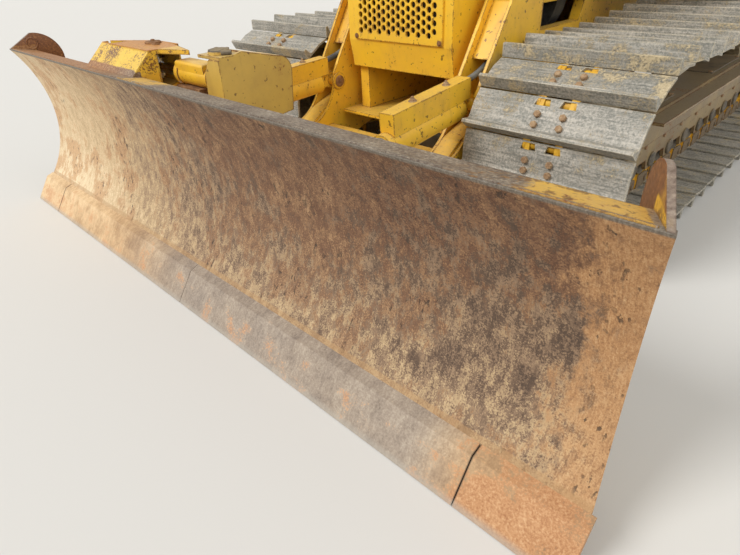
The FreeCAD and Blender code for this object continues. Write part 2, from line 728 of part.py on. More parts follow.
def cab_outline(inset):
    """Plan of the cab's walls with its corners cut off, inset mm inside the outer faces."""
    x, y0, y1 = cab_half - inset, cab_y[0] + inset, cab_y[1] - inset
    ahead = cab_corner_front - 0.586 * inset         # keeps the corner as thick as the walls
    astern = cab_corner_rear - 0.586 * inset
    return [(-x + ahead, y0), (x - ahead, y0), (x, y0 + ahead), (x, y1 - astern), (x - astern, y1),
            (-x + astern, y1), (-x, y1 - astern), (-x, y0 + ahead)]


def make_cab_shell():
    z0, z1 = cab_floor_z + seat_gap, cab_wall_top_z
    shell = plan(cab_outline(0), z0, z1).cut(plan(cab_outline(cab_wall), z0 - 1, z1 + 1))
    wall = cab_wall + 2
    wide = window_half + window_flare
    windscreen = [(-window_half, windscreen_sill_z), (window_half, windscreen_sill_z), (wide, window_top_z),
                  (-wide, window_top_z)]
    rear_window = [(-window_half, rear_window_sill_z), (window_half, rear_window_sill_z),
                   (window_half, window_top_z), (-window_half, window_top_z)]
    cuts = [front(windscreen, cab_y[0] - 1, cab_y[0] + wall),
            front(rear_window, cab_y[1] - wall, cab_y[1] + 1)]
    side_y = (cab_door_y[1] + 90, cab_y[1] - 110)
    for sign in (-1, 1):
        x0, x1 = sorted((sign * (cab_half + 1), sign * (cab_half - wall)))
        cuts.append(box(x0, x1, *cab_door_y, z0 - 1, cab_door_top_z))
        cuts.append(box(x0, x1, *side_y, side_window_sill_z, window_top_z))
    for cut in cuts:
        shell = shell.cut(cut)
    straps = hinges(cab_hinge, cab_hinge_z, cab_hinge[1] + 60, cab_half, 1)
    return join(shell, *straps, *[flip(s) for s in straps])


save("cab_shell", make_cab_shell())
roof_z = (cab_wall_top_z + seat_gap, overall_height)
roof = side([(cab_y[0] - 120, roof_z[0]), (cab_y[1] + 60, roof_z[0]), (cab_y[1] + 60, roof_z[1] - 60),
             (cab_y[1] - 40, roof_z[1]), (cab_y[0] + 40, roof_z[1]), (cab_y[0] - 120, roof_z[1] - 70)],
            -cab_half - 30, cab_half + 30)
roof = rounded(roof, 45, lambda p: abs(p.x) > cab_half + 29 and p.z > roof_z[0] + 1)
save("cab_roof", roof)

door_gap = 6.0
door_frame = 70.0                # width of the frame round the panes
door_bar_z = (1890.0, 1980.0)    # bar between the lower and the upper pane


def make_cab_door():
    y0, y1 = cab_door_y[0] + door_gap, cab_door_y[1] - door_gap
    z0, z1 = cab_floor_z + door_gap, cab_door_top_z - door_gap
    x0, x1 = cab_half - cab_door_thickness, cab_half
    leaf = box(x0, x1, y0, y1, z0, z1)
    pane_y = (y0 + door_frame, y1 - door_frame)
    upper = box(x0 - 1, x1 + 1, *pane_y, door_bar_z[1], z1 - door_frame)
    lower = box(x0 - 1, x1 + 1, *pane_y, z0 + 90, door_bar_z[0])
    straps = hinges(cab_hinge, [z + knuckle + seat_gap for z in cab_hinge_z], y1 - 55, cab_half, 1)
    return join(leaf.cut(upper).cut(lower), *straps)


cab_door = make_cab_door()
save("cab_door_left", cab_door)
save("cab_door_right", flip(cab_door))

seat_y = 4080.0


def make_seat():
    base = box(-170, 170, seat_y - 160, seat_y + 200, cab_floor_z + seat_gap, 1720)
    cushion_top = 1840
    cushion = box(-250, 250, seat_y - 260, seat_y + 230, 1720 + seat_gap, cushion_top)
    cushion = rounded(cushion, 35, lambda p: p.z > cushion_top - 1 or abs(p.y - seat_y + 260) < 1)
    back = side([(seat_y + 200, cushion_top + seat_gap), (seat_y + 320, cushion_top + seat_gap),
                 (seat_y + 420, 2480), (seat_y + 320, 2480)], -240, 240)
    back = rounded(back, 40, lambda p: abs(p.x) > 239 and p.z > cushion_top + 10 or p.z > 2479)
    arm = side([(seat_y - 110, 1985), (seat_y + 300, 1985), (seat_y + 330, 2040), (seat_y - 110, 2040)],
               225, 298)
    return [base, cushion, join(back, *both(arm))]


save("seat", *make_seat())


def make_console():
    body = side([(3760, cab_floor_z + seat_gap), (4480, cab_floor_z + seat_gap), (4480, 1960),
                 (3900, 1960), (3760, 1900)], 330, 520)
    lever = upright(425, 3860, 1900, 2130, 22)
    return join(body, lever)


save("consoles", *both(make_console()))
dash_z = cab_floor_z + seat_gap
save("dashboard", side([(3372, dash_z), (3480, dash_z), (3560, 1850), (3520, 1940), (3372, 1940)], -260, 260))

# Fenders beside the cab, with steps, and the rear fuel tank
fender_z = (1185.0, 1330.0)
fender_x = track_mid_x + 67.0    # outer edge of a fender


def make_fender():
    y0, y1 = cab_y[0] - 60, cab_y[1] + 100
    deck = side([(y0 + 40, fender_z[0]), (y1, fender_z[0]), (y1, fender_z[1]), (y0 + 70, fender_z[1]),
                 (y0, fender_z[1] - 60), (y0, fender_z[0] + 30)], cab_half + seat_gap, fender_x)
    locker = side([(cab_door_y[1] + 40, fender_z[1] - 1), (y1, fender_z[1] - 1),
                   (y1, 1690), (y1 - 70, 1760), (cab_door_y[1] + 120, 1760)], cab_half + 60, fender_x)
    locker = rounded(locker, 30, lambda p: p.x > fender_x - 1 and p.z > fender_z[1] + 5)
    return join(deck, locker)


save("fenders", *both(make_fender()))
tank_z = case_top_z + seat_gap
tank = side([(cab_y[1] + 61, tank_z), (5330, tank_z), (5400, 1290), (5400, 1960), (5340, 2040),
             (cab_y[1] + 61, 2040)], -620, 620)
tank = rounded(tank, 40, lambda p: abs(p.x) > 619 and p.y > cab_y[1] + 62 and p.z > tank_z + 1)
filler = upright(-430, 5180, 2039, 2085, 55)
save("fuel_tank", join(tank, filler))


# C-frame: arms, towers and nose, in one weldment
base_pin = 32.0                              # radius of the pin at the base of an angle cylinder
hose_start = V(556.0, 1945.0, 1190.0)        # where the hose leaves its block behind the tower's web


def tower_front(z):
    return tower_front_y + tower_lean * (z - tower_front_z)


def make_c_frame():
    pieces = []
    nose = [(-tower_outer[1], 1540), (-tower_outer[1], 1250), (-250, 800), (-100, 600), (-100, pivot_y),
            ((0, pivot_y - 100), (100, pivot_y)), (100, 600), (250, 800), (tower_outer[1], 1250),
            (tower_outer[1], 1540)]
    pieces.append(plan(nose, *nose_z))
    for sign in (-1, 1):
        for plate in (tower_inner, tower_outer):
            x0, x1 = sorted((sign * plate[0], sign * plate[1]))
            shape = [(1300, nose_z[0]), (1760, nose_z[0] + 60), (tower_back_y, arm_z[0]),
                     (tower_back_y, tower_top_z), (tower_front(tower_top_z), tower_top_z),
                     (tower_front(780), 780), ((1548, 640), (1400, 500)), (1300, nose_z[1])]
            pieces.append(side(shape, x0, x1))
            boss = plate[0] - 12 if plate is tower_inner else plate[1]
            x0, x1 = sorted((sign * boss, sign * (boss + 12)))
            pieces.append(across(x0, x1, angle_base.y, angle_base.z, 52))
            pieces.append(across(x0, x1, lift_foot.y, lift_foot.z, 52))
        x0, x1 = sorted((sign * tower_inner[0], sign * tower_outer[1]))
        web = [(tower_front(web_bottom_z) + web_recess, web_bottom_z),
               (tower_front(web_bottom_z) + web_recess + 12, web_bottom_z),
               (tower_front(tower_top_z) + web_recess + 12, tower_top_z),
               (tower_front(tower_top_z) + web_recess, tower_top_z)]
        pieces.append(side(web, x0, x1))
        x0, x1 = sorted((sign * arm_x[0], sign * arm_x[1]))
        arm = [(1330, nose_z[0]), (1760, nose_z[0] + 60), (2300, arm_z[0]), (trunnion_y, arm_z[0] - 20),
               ((trunnion_y + 110, trunnion_z), (trunnion_y, trunnion_z + 110)),
               (2300, arm_z[1] - 20), (1700, 640), (1480, 560), (1330, nose_z[1])]
        pieces.append(side(arm, x0, x1))
        x0, x1 = sorted((sign * tower_inner[0], sign * tower_outer[1]))
        pieces.append(box(x0, x1, 1330, 1540, nose_z[0], nose_z[1]))
        pieces.append(box(x0, x1, 2000, 2160, arm_z[0] + 10, arm_z[1] - 30))
        pieces.append(box(x0, x1, hose_start.y - 45, hose_start.y + 35, hose_start.z, hose_start.z + 60))
        x0, x1 = sorted((sign * (tower_inner[0] + 1), sign * (tower_outer[1] - 1)))
        pieces.append(across(x0, x1, angle_base.y, angle_base.z, base_pin))
    frame = join(*pieces)
    frame = frame.cut(upright(0, pivot_y, nose_z[0] - 1, nose_z[1] + 1, pivot_radius))
    return frame.cut(across(-arm_x[1] - 1, arm_x[1] + 1, trunnion_y, trunnion_z, trunnion_radius))


save("c_frame", make_c_frame())


def line_length(start, end):
    return (end - start).Length


# Lift cylinders
lift_bore = 28.0


def make_lift_barrel():
    length = 746.0
    tube = pin(V(45, 0, 0), V(length, 0, 0), 50)
    eye = pin(V(0, -53, 0), V(0, 53, 0), 60)
    gland = pin(V(length - 60, 0, 0), V(length, 0, 0), 56)
    body = join(tube, eye, gland).cut(pin(V(0, -54, 0), V(0, 54, 0), 35))
    return body.cut(pin(V(70, 0, 0), V(length + 1, 0, 0), lift_bore + 1))


def make_lift_rod():
    length = line_length(lift_top, lift_foot)
    bar = pin(V(522, 0, 0), V(length, 0, 0), lift_bore)
    eye = pin(V(length, -50, 0), V(length, 50, 0), 46)
    cross_pin = pin(V(length, -62.5, 0), V(length, 62.5, 0), 26)
    return join(bar, eye, cross_pin)


for name, shape in (("lift_barrel", make_lift_barrel()), ("lift_rod", make_lift_rod())):
    placed = aim(shape, lift_top, lift_foot)
    save(name + "_left", placed)
    save(name + "_right", flip(placed))

# Angle cylinders with the box guard over their pipes
angle_rod_radius = 30.0
barrel_end = 735.0               # along the cylinder, from its base pin
guard_box = (30.0, 685.0)
guard_box_half = 43.0
guard_box_z = (44.0, 152.0)
hose_way_z = 118.0               # height of the hose's way in above the cylinder's axis
lug_radius = 62.0


def make_angle_barrel():
    tube = pin(V(95, 0, 0), V(barrel_end, 0, 0), 62)
    eye = pin(V(0, -22, 0), V(0, 22, 0), 54)
    neck = box(40, 100, -22, 22, -36, 50)
    guard = box(guard_box[0], guard_box[1], -guard_box_half, guard_box_half, *guard_box_z)
    gland = pin(V(barrel_end - 40, 0, 0), V(barrel_end, 0, 0), 67)
    body = join(tube, eye, neck, guard, gland)
    body = body.cut(pin(V(120, 0, 0), V(barrel_end + 1, 0, 0), angle_rod_radius + 1))
    hose_way = pin(V(guard_box[0] - 1, 0, hose_way_z), V(guard_box[0] + 60, 0, hose_way_z), 24)
    return body.cut(hose_way)


def make_angle_rod():
    length = line_length(angle_base, angle_eye)
    bar = pin(V(398, 0, 0), V(length, 0, 0), angle_rod_radius)
    eye = pin(V(length, 0, -42), V(length, 0, 42), 48)
    cross_pin = pin(V(length, 0, -56), V(length, 0, 56), 26)
    return join(bar, eye, cross_pin)


base_bore = base_pin + 0.9
for name, shape in (("angle_barrel", make_angle_barrel()), ("angle_rod", make_angle_rod())):
    placed = aim(shape, angle_base, angle_eye)
    placed = placed.cut(across(angle_base.x - 60, angle_base.x + 60, angle_base.y, angle_base.z, base_bore))
    save(name + "_left", placed)
    save(name + "_right", flip(placed))


# Blade carrier: swings on the C-frame's nose, holds the tilt pin and the cylinder lugs
carrier_y0, carrier_y1 = 395.0, 425.0
tower_left, tower_right = 80.0, -98.0
tower_plate = 18.0


def make_tower():
    """Closed tower over the pivot, with a rounded cover behind and the tilt cylinder's base pin inside."""
    foot_z = nose_z[1] + 30
    cheek = [(carrier_y1 - 1, foot_z), (carrier_y1 - 1, 1085), (545, 1108), (740, 1062),
             ((795, 1035), (812, 985)), (795, 800), (665, 785), (640, foot_z)]
    pieces = [side(cheek, tower_left - tower_plate, tower_left)]
    low_cheek = [(carrier_y1 - 1, foot_z), (carrier_y1 - 1, 905), (640, 905), (640, foot_z)]
    pieces.append(side(low_cheek, tower_right, tower_right + tower_plate))
    cover = [(560, 800), (560, 1104), (740, 1062), ((795, 1035), (812, 985)), (795, 800)]
    inner = [(572, 799), (572, 1089), (736, 1051), ((785, 1027), (800, 983)), (783, 799)]
    hollow = side(inner, tower_right + 12, tower_left - tower_plate)
    pieces.append(side(cover, tower_right, tower_left).cut(hollow))
    for y0, y1 in ((carrier_y1 - 7, carrier_y1 + 13), (tilt_base.y + 47, tilt_base.y + 67)):
        lug = [(-70, 700), (tower_left, 700), (tower_left, 1085), (0, 1085), (-50, 1020), (-58, 940)]
        pieces.append(front(lug, y0, y1))
    pieces.append(box(tower_right, tower_left, carrier_y1, 575, 1085, 1098))
    pieces.append(upright(-10, tilt_base.y, 1097, 1112, 50))
    pin_end = V(tilt_base.x, tilt_base.y + 60, tilt_base.z)
    pieces.append(pin(V(tilt_base.x, carrier_y1, tilt_base.z), pin_end, 30 - fit))
    return pieces


def make_carrier():
    pieces = [box(-190, 190, carrier_y0, carrier_y1, 262, 520),
              front([(-700, 540), (-150, 500), (150, 500), (700, 540), (700, 765), (-700, 765)],
                    carrier_y0, carrier_y1)]
    for z0, z1 in ((nose_z[0] - 38, nose_z[0] - 8), (nose_z[1] + 8, nose_z[1] + 38)):
        plate = [(-120, carrier_y1 - 1), (-120, pivot_y), ((0, pivot_y + 120), (120, pivot_y)),
                 (120, carrier_y1 - 1)]
        pieces.append(plan(plate, z0, z1))
    pieces.append(upright(0, pivot_y, nose_z[0] - 38, nose_z[1] + 38, pivot_radius - fit))
    for sign in (-1, 1):
        for z0, z1 in ((angle_eye.z - 110, angle_eye.z - 84), (angle_eye.z + 84, angle_eye.z + 110)):
            x = sign * angle_eye.x
            lug = [(x - 75, carrier_y1 - 1), (x - lug_radius, angle_eye.y), ((x, angle_eye.y + lug_radius),
                   (x + lug_radius, angle_eye.y)), (x + 75, carrier_y1 - 1)]
            pieces.append(plan(lug, z0, z1))
    pieces += make_tower()
    pieces.append(pin(V(0, carrier_y0 - 85, tilt_z), V(0, carrier_y0 + 1, tilt_z), tilt_radius - fit))
    return join(*pieces)


save("blade_carrier", make_carrier())


# Tilt cylinder, with a flat-topped guard over its pipes
tilt_barrel_end = 375.0          # along the cylinder, from its base pin
tilt_guard = (100.0, 368.0)
tilt_guard_half = 48.0
tilt_guard_top = 62.0            # above the cylinder's axis


def make_tilt_barrel():
    tube = pin(V(85, 0, 0), V(tilt_barrel_end, 0, 0), 52)
    eye = pin(V(0, -40, 0), V(0, 40, 0), 56)
    neck = box(40, 90, -34, 34, -40, 40)
    gland = pin(V(tilt_barrel_end - 35, 0, 0), V(tilt_barrel_end, 0, 0), 57)
    guard = rounded(box(*tilt_guard, -tilt_guard_half, tilt_guard_half, 0, tilt_guard_top), 14,
                    lambda p: p.z > tilt_guard_top - 1 or p.z > 1 and p.x > tilt_guard[1] - 1)
    body = join(tube, eye, neck, gland, guard)
    body = body.cut(pin(V(0, -41, 0), V(0, 41, 0), 30))
    return body.cut(pin(V(105, 0, 0), V(tilt_barrel_end + 1, 0, 0), 29))


def make_tilt_rod():
    length = line_length(tilt_base, tilt_eye)
    bar = pin(V(180, 0, 0), V(length, 0, 0), 28)
    eye = pin(V(length, 0, -44), V(length, 0, 44), 46)
    cross_pin = pin(V(length, 0, -58), V(length, 0, 58), 24)
    return join(bar, eye, cross_pin)


save("tilt_barrel", aim(make_tilt_barrel(), tilt_base, tilt_eye))
save("tilt_rod", aim(make_tilt_rod(), tilt_base, tilt_eye))


# Blade: curved moldboard, cutting edge, end bits and the structure behind
def edge_line(z, depth):
    """y of the cutting edge's face at height z, depth mm behind its front face."""
    return (z - edge_clear) * edge_slope + depth * math.hypot(1, edge_slope)


def face_circle():
    """Centre and radius of the moldboard's front arc in (y, z)."""
    a = (edge_line(edge_seat_z, edge_thickness), edge_seat_z)
    b = (blade_deep_y, blade_deep_z)
    c = (blade_top_y, blade_top_z)
    d = 2 * (a[0] * (b[1] - c[1]) + b[0] * (c[1] - a[1]) + c[0] * (a[1] - b[1]))
    sa, sb, sc = (p[0] ** 2 + p[1] ** 2 for p in (a, b, c))
    y = (sa * (b[1] - c[1]) + sb * (c[1] - a[1]) + sc * (a[1] - b[1])) / d
    z = (sa * (c[0] - b[0]) + sb * (a[0] - c[0]) + sc * (b[0] - a[0])) / d
    return y, z, math.dist((y, z), a)


arc_y, arc_z, arc_radius = face_circle()


def face_y(z, depth=0.0):
    """y of the curved face at height z, depth mm behind it."""
    return arc_y + math.sqrt((arc_radius + depth) ** 2 - (z - arc_z) ** 2)


seat_low_z = 60.0


wedge_reach = 600.0              # how far back the wedges reach that trim the blade's ends


def end_wedge(taper):
    """What is cut off the blade's left end to make it lean inward by taper."""
    y1 = blade_top_y + wedge_reach
    return plan([(blade_half, blade_top_y), (blade_half - taper * wedge_reach, y1), (blade_half + 10, y1),
                 (blade_half + 10, blade_top_y)], -50, 1300)


def make_moldboard():
    low = (edge_line(seat_low_z, edge_thickness), seat_low_z)
    seat = (edge_line(edge_seat_z, edge_thickness), edge_seat_z)
    top = (blade_top_y, blade_top_z)
    back_top = (face_y(blade_top_z, skin), blade_top_z)
    back_seat = (face_y(edge_seat_z, skin), edge_seat_z)
    back_low = (edge_line(seat_low_z, edge_thickness + skin), seat_low_z)
    profile = [low, seat, ((blade_deep_y, blade_deep_z), top), back_top,
               ((face_y(blade_deep_z, skin), blade_deep_z), back_seat), back_low]
    board = side(profile, -blade_half, blade_half)
    return board.cut(Part.makeCompound(both(end_wedge(end_taper))))


moldboard = make_moldboard()
save("moldboard", moldboard)


def edge_profile(top_z):
    return [(edge_line(edge_clear, 0), edge_clear),
            (edge_line(edge_clear, edge_thickness), edge_clear),
            (edge_line(top_z, edge_thickness), top_z),
            (edge_line(top_z - 16, 0), top_z - 16)]


edge_joint = 1.5
save("cutting_edge", side(edge_profile(edge_seat_z), edge_joint, end_bit_inner - edge_joint),
     side(edge_profile(edge_seat_z), -end_bit_inner + edge_joint, -edge_joint))
end_bit = side(edge_profile(edge_seat_z), end_bit_inner + edge_joint, end_bit_half)
save("end_bits", *both(end_bit))


def behind(z0, z1, back, x0, x1):
    """A solid on the moldboard's back from z0 to z1, out to the (y, z) points given from bottom to top."""
    mid = (z0 + z1) / 2
    depth = skin / 2
    points = [(face_y(z0, depth), z0), *back, (face_y(z1, depth), z1),
              ((face_y(mid, depth), mid), (face_y(z0, depth), z0))]
    return side(points, x0, x1)


rib_back_y = 380.0
rib_places = (420.0, 900.0, blade_half - 618.0)
rib_half = 10.0
end_plate = 18.0
bracket_x = (-980.0, -430.0)
bracket_plates = ((890.0, 912.0), (1075.0, 1097.0))     # lower and upper plate, in z


def make_tilt_bracket():
    """Lugs of the tilt cylinder's rod, over the flange on the machine's right."""
    x0, x1 = bracket_x
    (low0, low1), (top0, top1) = bracket_plates
    slope = side([(232, 983), (360, top1), (360, top0), (262, 972)], x0, x1)
    cheeks = [side([(232, 983), (360, top1), (385, top1), (385, low1), (262, low1)], x, x + 20)
              for x in (x0, x1 - 20)]
    upper = plan([(-860, 350), (x1, 350), (x1, 400), (-250, 470), (-560, 540), (-700, 540), (-860, 480)],
                 top0, top1)
    lower = plan([(x0, 262), (x1, 262), (x1, 400), (-560, 540), (-720, 540), (x0, 400)], low0, low1)
    return [slope, *cheeks, upper, lower]


def make_end_plate():
    """Plate that closes the blade's end, in the upright plane that leans inward towards the rear."""
    middle = (face_y(blade_deep_z, skin / 2), blade_deep_z)
    front_top = (face_y(blade_top_z, 4), blade_top_z)
    points = [front_top, end_plate_top, ((395, 1040), (430, 930)), (420, 500), (335, 190),
              (face_y(190, skin / 2), 190), (middle, front_top)]
    leaning = outline(points, lambda p: V(blade_half - plate_taper * (p[0] - blade_top_y), p[0], p[1]))
    return leaning.extrude(V(-end_plate, 0, 0))


def make_blade_back(moldboard):
    """Top flange, end plates, ribs, two long stiffeners, the tilt bearing and the cylinder's bracket."""
    half = blade_half
    flange = side([(face_y(blade_top_z, skin / 2), blade_top_z), (flange_back_y, flange_back_z),
                   (flange_back_y, flange_back_z - 20),
                   (face_y(blade_top_z - 22, skin / 2), blade_top_z - 22)], -half, half)
    pieces = [flange,
              behind(190, 330, [(355, 215), (355, 300)], -half, half),
              behind(800, 940, [(365, 830), (365, 905)], -half, half),
              behind(tilt_z - 115, tilt_z + 115, [(385, tilt_z - 95), (385, tilt_z + 95)], -120, 120)]
    pieces += both(make_end_plate())
    for sign in (-1, 1):
        for x in rib_places:
            x0, x1 = sorted((sign * (x - rib_half), sign * (x + rib_half)))
            pieces.append(behind(200, 972, [(rib_back_y, 260), (rib_back_y, 900)], x0, x1))
    whole = join(*pieces, *make_tilt_bracket()).cut(moldboard)
    whole = whole.cut(Part.makeCompound(both(end_wedge(plate_taper))))
    return whole.cut(pin(V(0, 305, tilt_z), V(0, 400, tilt_z), tilt_radius))


save("blade_back", make_blade_back(moldboard))


# Hoses: from behind the tower web into the rear of the angle cylinder's box guard
hose_radius = 17.0
hose_points = [hose_start, V(556, 1945, 1100), V(556, 1905, 1015), V(556, 1850, 950), V(557, 1780, 903),
               V(558, 1700, 872), V(558, 1620, 853), V(559, 1550, 843)]


def make_hose(points):
    """A round tube on straight runs joined by tangent arcs."""
    edges = []
    here = points[0]
    for before, corner, after in zip(points, points[1:], points[2:]):
        into = (corner - before).normalize()
        out = (after - corner).normalize()
        turn = into.getAngle(out)
        reach = 0.45 * min((corner - before).Length, (after - corner).Length)
        start = corner - into * reach
        end = corner + out * reach
        radius = reach / math.tan(turn / 2)
        print("hose arc radius %.0f" % radius)
        inner = corner + (out - into).normalize() * (radius / math.cos(turn / 2) - radius)
        edges.append(Part.LineSegment(here, start).toShape())
        edges.append(Part.Arc(start, inner, end).toShape())
        here = end
    edges.append(Part.LineSegment(here, points[-1]).toShape())
    path = Part.Wire(edges)
    section = Part.Wire(Part.Circle(points[0], points[1] - points[0], hose_radius).toShape())
    tube = path.makePipeShell([section], True, True)
    print("hose volume %.0f, section times length %.0f"
          % (tube.Volume, math.pi * hose_radius ** 2 * path.Length))
    return tube


hose = make_hose(hose_points)
save("hose_left", hose)
save("hose_right", flip(hose))
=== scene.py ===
"""Looks of a wide-track crawler dozer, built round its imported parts. Metres, Z up; the blade faces -Y.

Places are given with y measured back from the cutting edge, as a fitter would measure them.
"""

import bmesh
import bpy
import math
import random
from mathutils import Matrix, Vector


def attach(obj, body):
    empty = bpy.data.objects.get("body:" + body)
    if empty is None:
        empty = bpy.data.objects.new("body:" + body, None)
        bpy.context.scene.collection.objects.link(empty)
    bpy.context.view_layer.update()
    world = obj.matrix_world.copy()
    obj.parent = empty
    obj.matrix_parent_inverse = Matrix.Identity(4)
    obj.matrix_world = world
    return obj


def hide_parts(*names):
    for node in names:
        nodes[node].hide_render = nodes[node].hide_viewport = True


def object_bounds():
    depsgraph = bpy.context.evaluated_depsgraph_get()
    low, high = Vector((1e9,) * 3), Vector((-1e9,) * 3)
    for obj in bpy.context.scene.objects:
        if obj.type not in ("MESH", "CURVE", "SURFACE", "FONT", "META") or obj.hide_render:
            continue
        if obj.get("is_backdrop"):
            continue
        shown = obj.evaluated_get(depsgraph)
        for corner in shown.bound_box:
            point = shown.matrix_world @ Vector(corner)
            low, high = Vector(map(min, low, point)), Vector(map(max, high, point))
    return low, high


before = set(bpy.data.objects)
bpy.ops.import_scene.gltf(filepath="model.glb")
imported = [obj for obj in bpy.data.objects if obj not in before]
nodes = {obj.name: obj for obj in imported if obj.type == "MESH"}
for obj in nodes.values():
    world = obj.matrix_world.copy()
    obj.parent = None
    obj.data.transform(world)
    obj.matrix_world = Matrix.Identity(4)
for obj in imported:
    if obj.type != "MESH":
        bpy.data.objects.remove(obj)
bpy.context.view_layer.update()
chance = random.Random(7)
edge_y = -2.8                      # the cutting edge's front, in the frame
left, rear, up = Vector((1, 0, 0)), Vector((0, 1, 0)), Vector((0, 0, 1))
sides = ((1, "left"), (-1, "right"))


def at(x, y, z):
    """A point of the frame from a place measured back from the cutting edge."""
    return Vector((x, y + edge_y, z))


def oblong(low, across, high, top):
    """Outline of a rectangle from two of its corners."""
    return [(low, across), (high, across), (high, top), (low, top)]


def add_object(name, data):
    """A new object in the scene."""
    made = bpy.data.objects.new(name, data)
    bpy.context.scene.collection.objects.link(made)
    return made


# Camera: where the picture was taken, looking down over the blade's left end
eye = Vector((2.247, -3.655, 1.489))
yaw, pitch, roll = math.radians(45.53), math.radians(32.33), math.radians(-2.8)
ahead = Vector((-math.sin(yaw) * math.cos(pitch), math.cos(yaw) * math.cos(pitch), -math.sin(pitch)))
level = ahead.cross(up).normalized()
above = level.cross(ahead)
camera_x = level * math.cos(roll) + above * math.sin(roll)
camera_y = above * math.cos(roll) - level * math.sin(roll)
camera = add_object("camera", bpy.data.cameras.new("camera"))
camera.data.lens = 25.67
camera.data.clip_end = 200
turned = [(camera_x[i], camera_y[i], -ahead[i], eye[i]) for i in range(3)]
camera.matrix_world = Matrix(turned + [(0, 0, 0, 1)])
bpy.context.scene.camera = camera
bpy.context.scene.view_settings.view_transform = "Standard"

# Hoses from behind the push-frame towers into the guard boxes
hose_radius = 0.017
hose_route = [(0.556, 1.945, 1.190), (0.556, 1.945, 1.100), (0.556, 1.905, 1.015), (0.556, 1.850, 0.950),
              (0.557, 1.780, 0.903), (0.558, 1.700, 0.872), (0.558, 1.620, 0.853), (0.559, 1.550, 0.843)]


def make_hose(side, name):
    curve = bpy.data.curves.new("rubber_" + name, "CURVE")
    curve.dimensions = "3D"
    curve.bevel_depth = 1.0
    curve.bevel_resolution = 6
    curve.resolution_u = 12
    curve.use_fill_caps = True
    spline = curve.splines.new("NURBS")
    spline.points.add(len(hose_route) - 1)
    for point, (x, y, z) in zip(spline.points, hose_route):
        point.co = (*at(side * x, y, z), 1)
        point.radius = hose_radius
    spline.order_u = 3
    spline.use_endpoint_u = True
    hose = add_object("rubber_" + name, curve)
    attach(hose, "push_frame")
    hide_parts(name)
    start = at(side * hose_route[0][0], *hose_route[0][1:])
    return hose


hoses = [make_hose(side, "hose_" + name) for side, name in sides]


# Finishes
def colour(code):
    """Linear colour of a six-digit screen colour."""
    parts = [int(code[i:i + 2], 16) / 255 for i in (0, 2, 4)]
    return tuple(c / 12.92 if c <= 0.04045 else ((c + 0.055) / 1.055) ** 2.4 for c in parts) + (1.0,)


class Field:
    """What one socket of a finish says over a surface. Arithmetic on it adds Math nodes."""

    def __init__(self, tree, socket):
        self.tree = tree
        self.socket = socket

    def node(self, kind, settings, inputs, output=0):
        """Adds a node: its settings first, then the values, links or colour codes of its sockets."""
        made = self.tree.nodes.new("ShaderNode" + kind)
        for name, value in settings.items():
            if name == "stops":
                ramp = made.color_ramp
                while len(ramp.elements) < len(value):
                    ramp.elements.new(0.5)
                for stop, (place, code) in zip(ramp.elements, value):
                    stop.position = place
                    stop.color = colour(code)
            else:
                setattr(made, name, value)
        for name, value in inputs.items():
            if isinstance(value, Field):
                self.tree.links.new(value.socket, made.inputs[name])
            else:
                made.inputs[name].default_value = colour(value) if isinstance(value, str) else value
        return Field(self.tree, made.outputs[output])

    def maths(self, operation, first, second):
        return self.node("Math", {"operation": operation}, {0: first, 1: second})

    def __add__(self, other):
        return self.maths("ADD", self, other)

    def __sub__(self, other):
        return self.maths("SUBTRACT", self, other)

    def __rsub__(self, other):
        return self.maths("SUBTRACT", other, self)

    def __mul__(self, other):
        return self.maths("MULTIPLY", self, other)

    __radd__ = __add__
    __rmul__ = __mul__

    def between(self, low, high):
        """0 at low and 1 at high, smooth between them."""
        return self.node("MapRange", {"interpolation_type": "SMOOTHSTEP"},
                         {"Value": self, "From Min": low, "From Max": high})

    def tint(self, under, over):
        """Colour under where this is 0, over where it is 1."""
        return self.node("Mix", {"data_type": "RGBA"}, {0: self, 6: under, 7: over}, 2)

    def swing(self, amount):
        """Noise as a change of up to half of amount either way."""
        return (self - 0.5) * amount

    def size(self):
        """The value without its sign."""
        return self.node("Math", {"operation": "ABSOLUTE"}, {0: self})

    def shades(self, *stops):
        return self.node("ValToRGB", {"stops": stops}, {0: self})

    def axis(self, name):
        return self.node("SeparateXYZ", {}, {0: self}, name)

    def grain(self, scale, detail=3.0, rough=0.55, stretch=(1, 1, 1)):
        """Noise with features of about 1/scale metres, drawn out where stretch is under 1."""
        spread = self.node("VectorMath", {"operation": "MULTIPLY"},
                           {0: self, 1: [scale * s for s in stretch]})
        return self.node("TexNoise", {},
                         {"Vector": spread, "Scale": 1.0, "Detail": detail, "Roughness": rough})

    def corners(self, reach):
        """1 on the edges of a piece, for wear, within reach metres."""
        rounded = self.node("Bevel", {"samples": 4}, {"Radius": reach})
        flat = self.node("NewGeometry", {}, {}, "Normal")
        same = self.node("VectorMath", {"operation": "DOT_PRODUCT"}, {0: rounded, 1: flat}, "Value")
        return (1 - same).between(0.01, 0.2)

    def bands(self, direction, scale):
        """Even stripes across one axis."""
        return self.node("TexWave", {"wave_type": "BANDS", "bands_direction": direction},
                         {"Vector": self, "Scale": scale}, 1)

    def normal(self):
        return self.node("TexCoord", {}, {}, "Normal")

    def facing_up(self):
        return self.normal().axis("Z").between(0.3, 0.95)


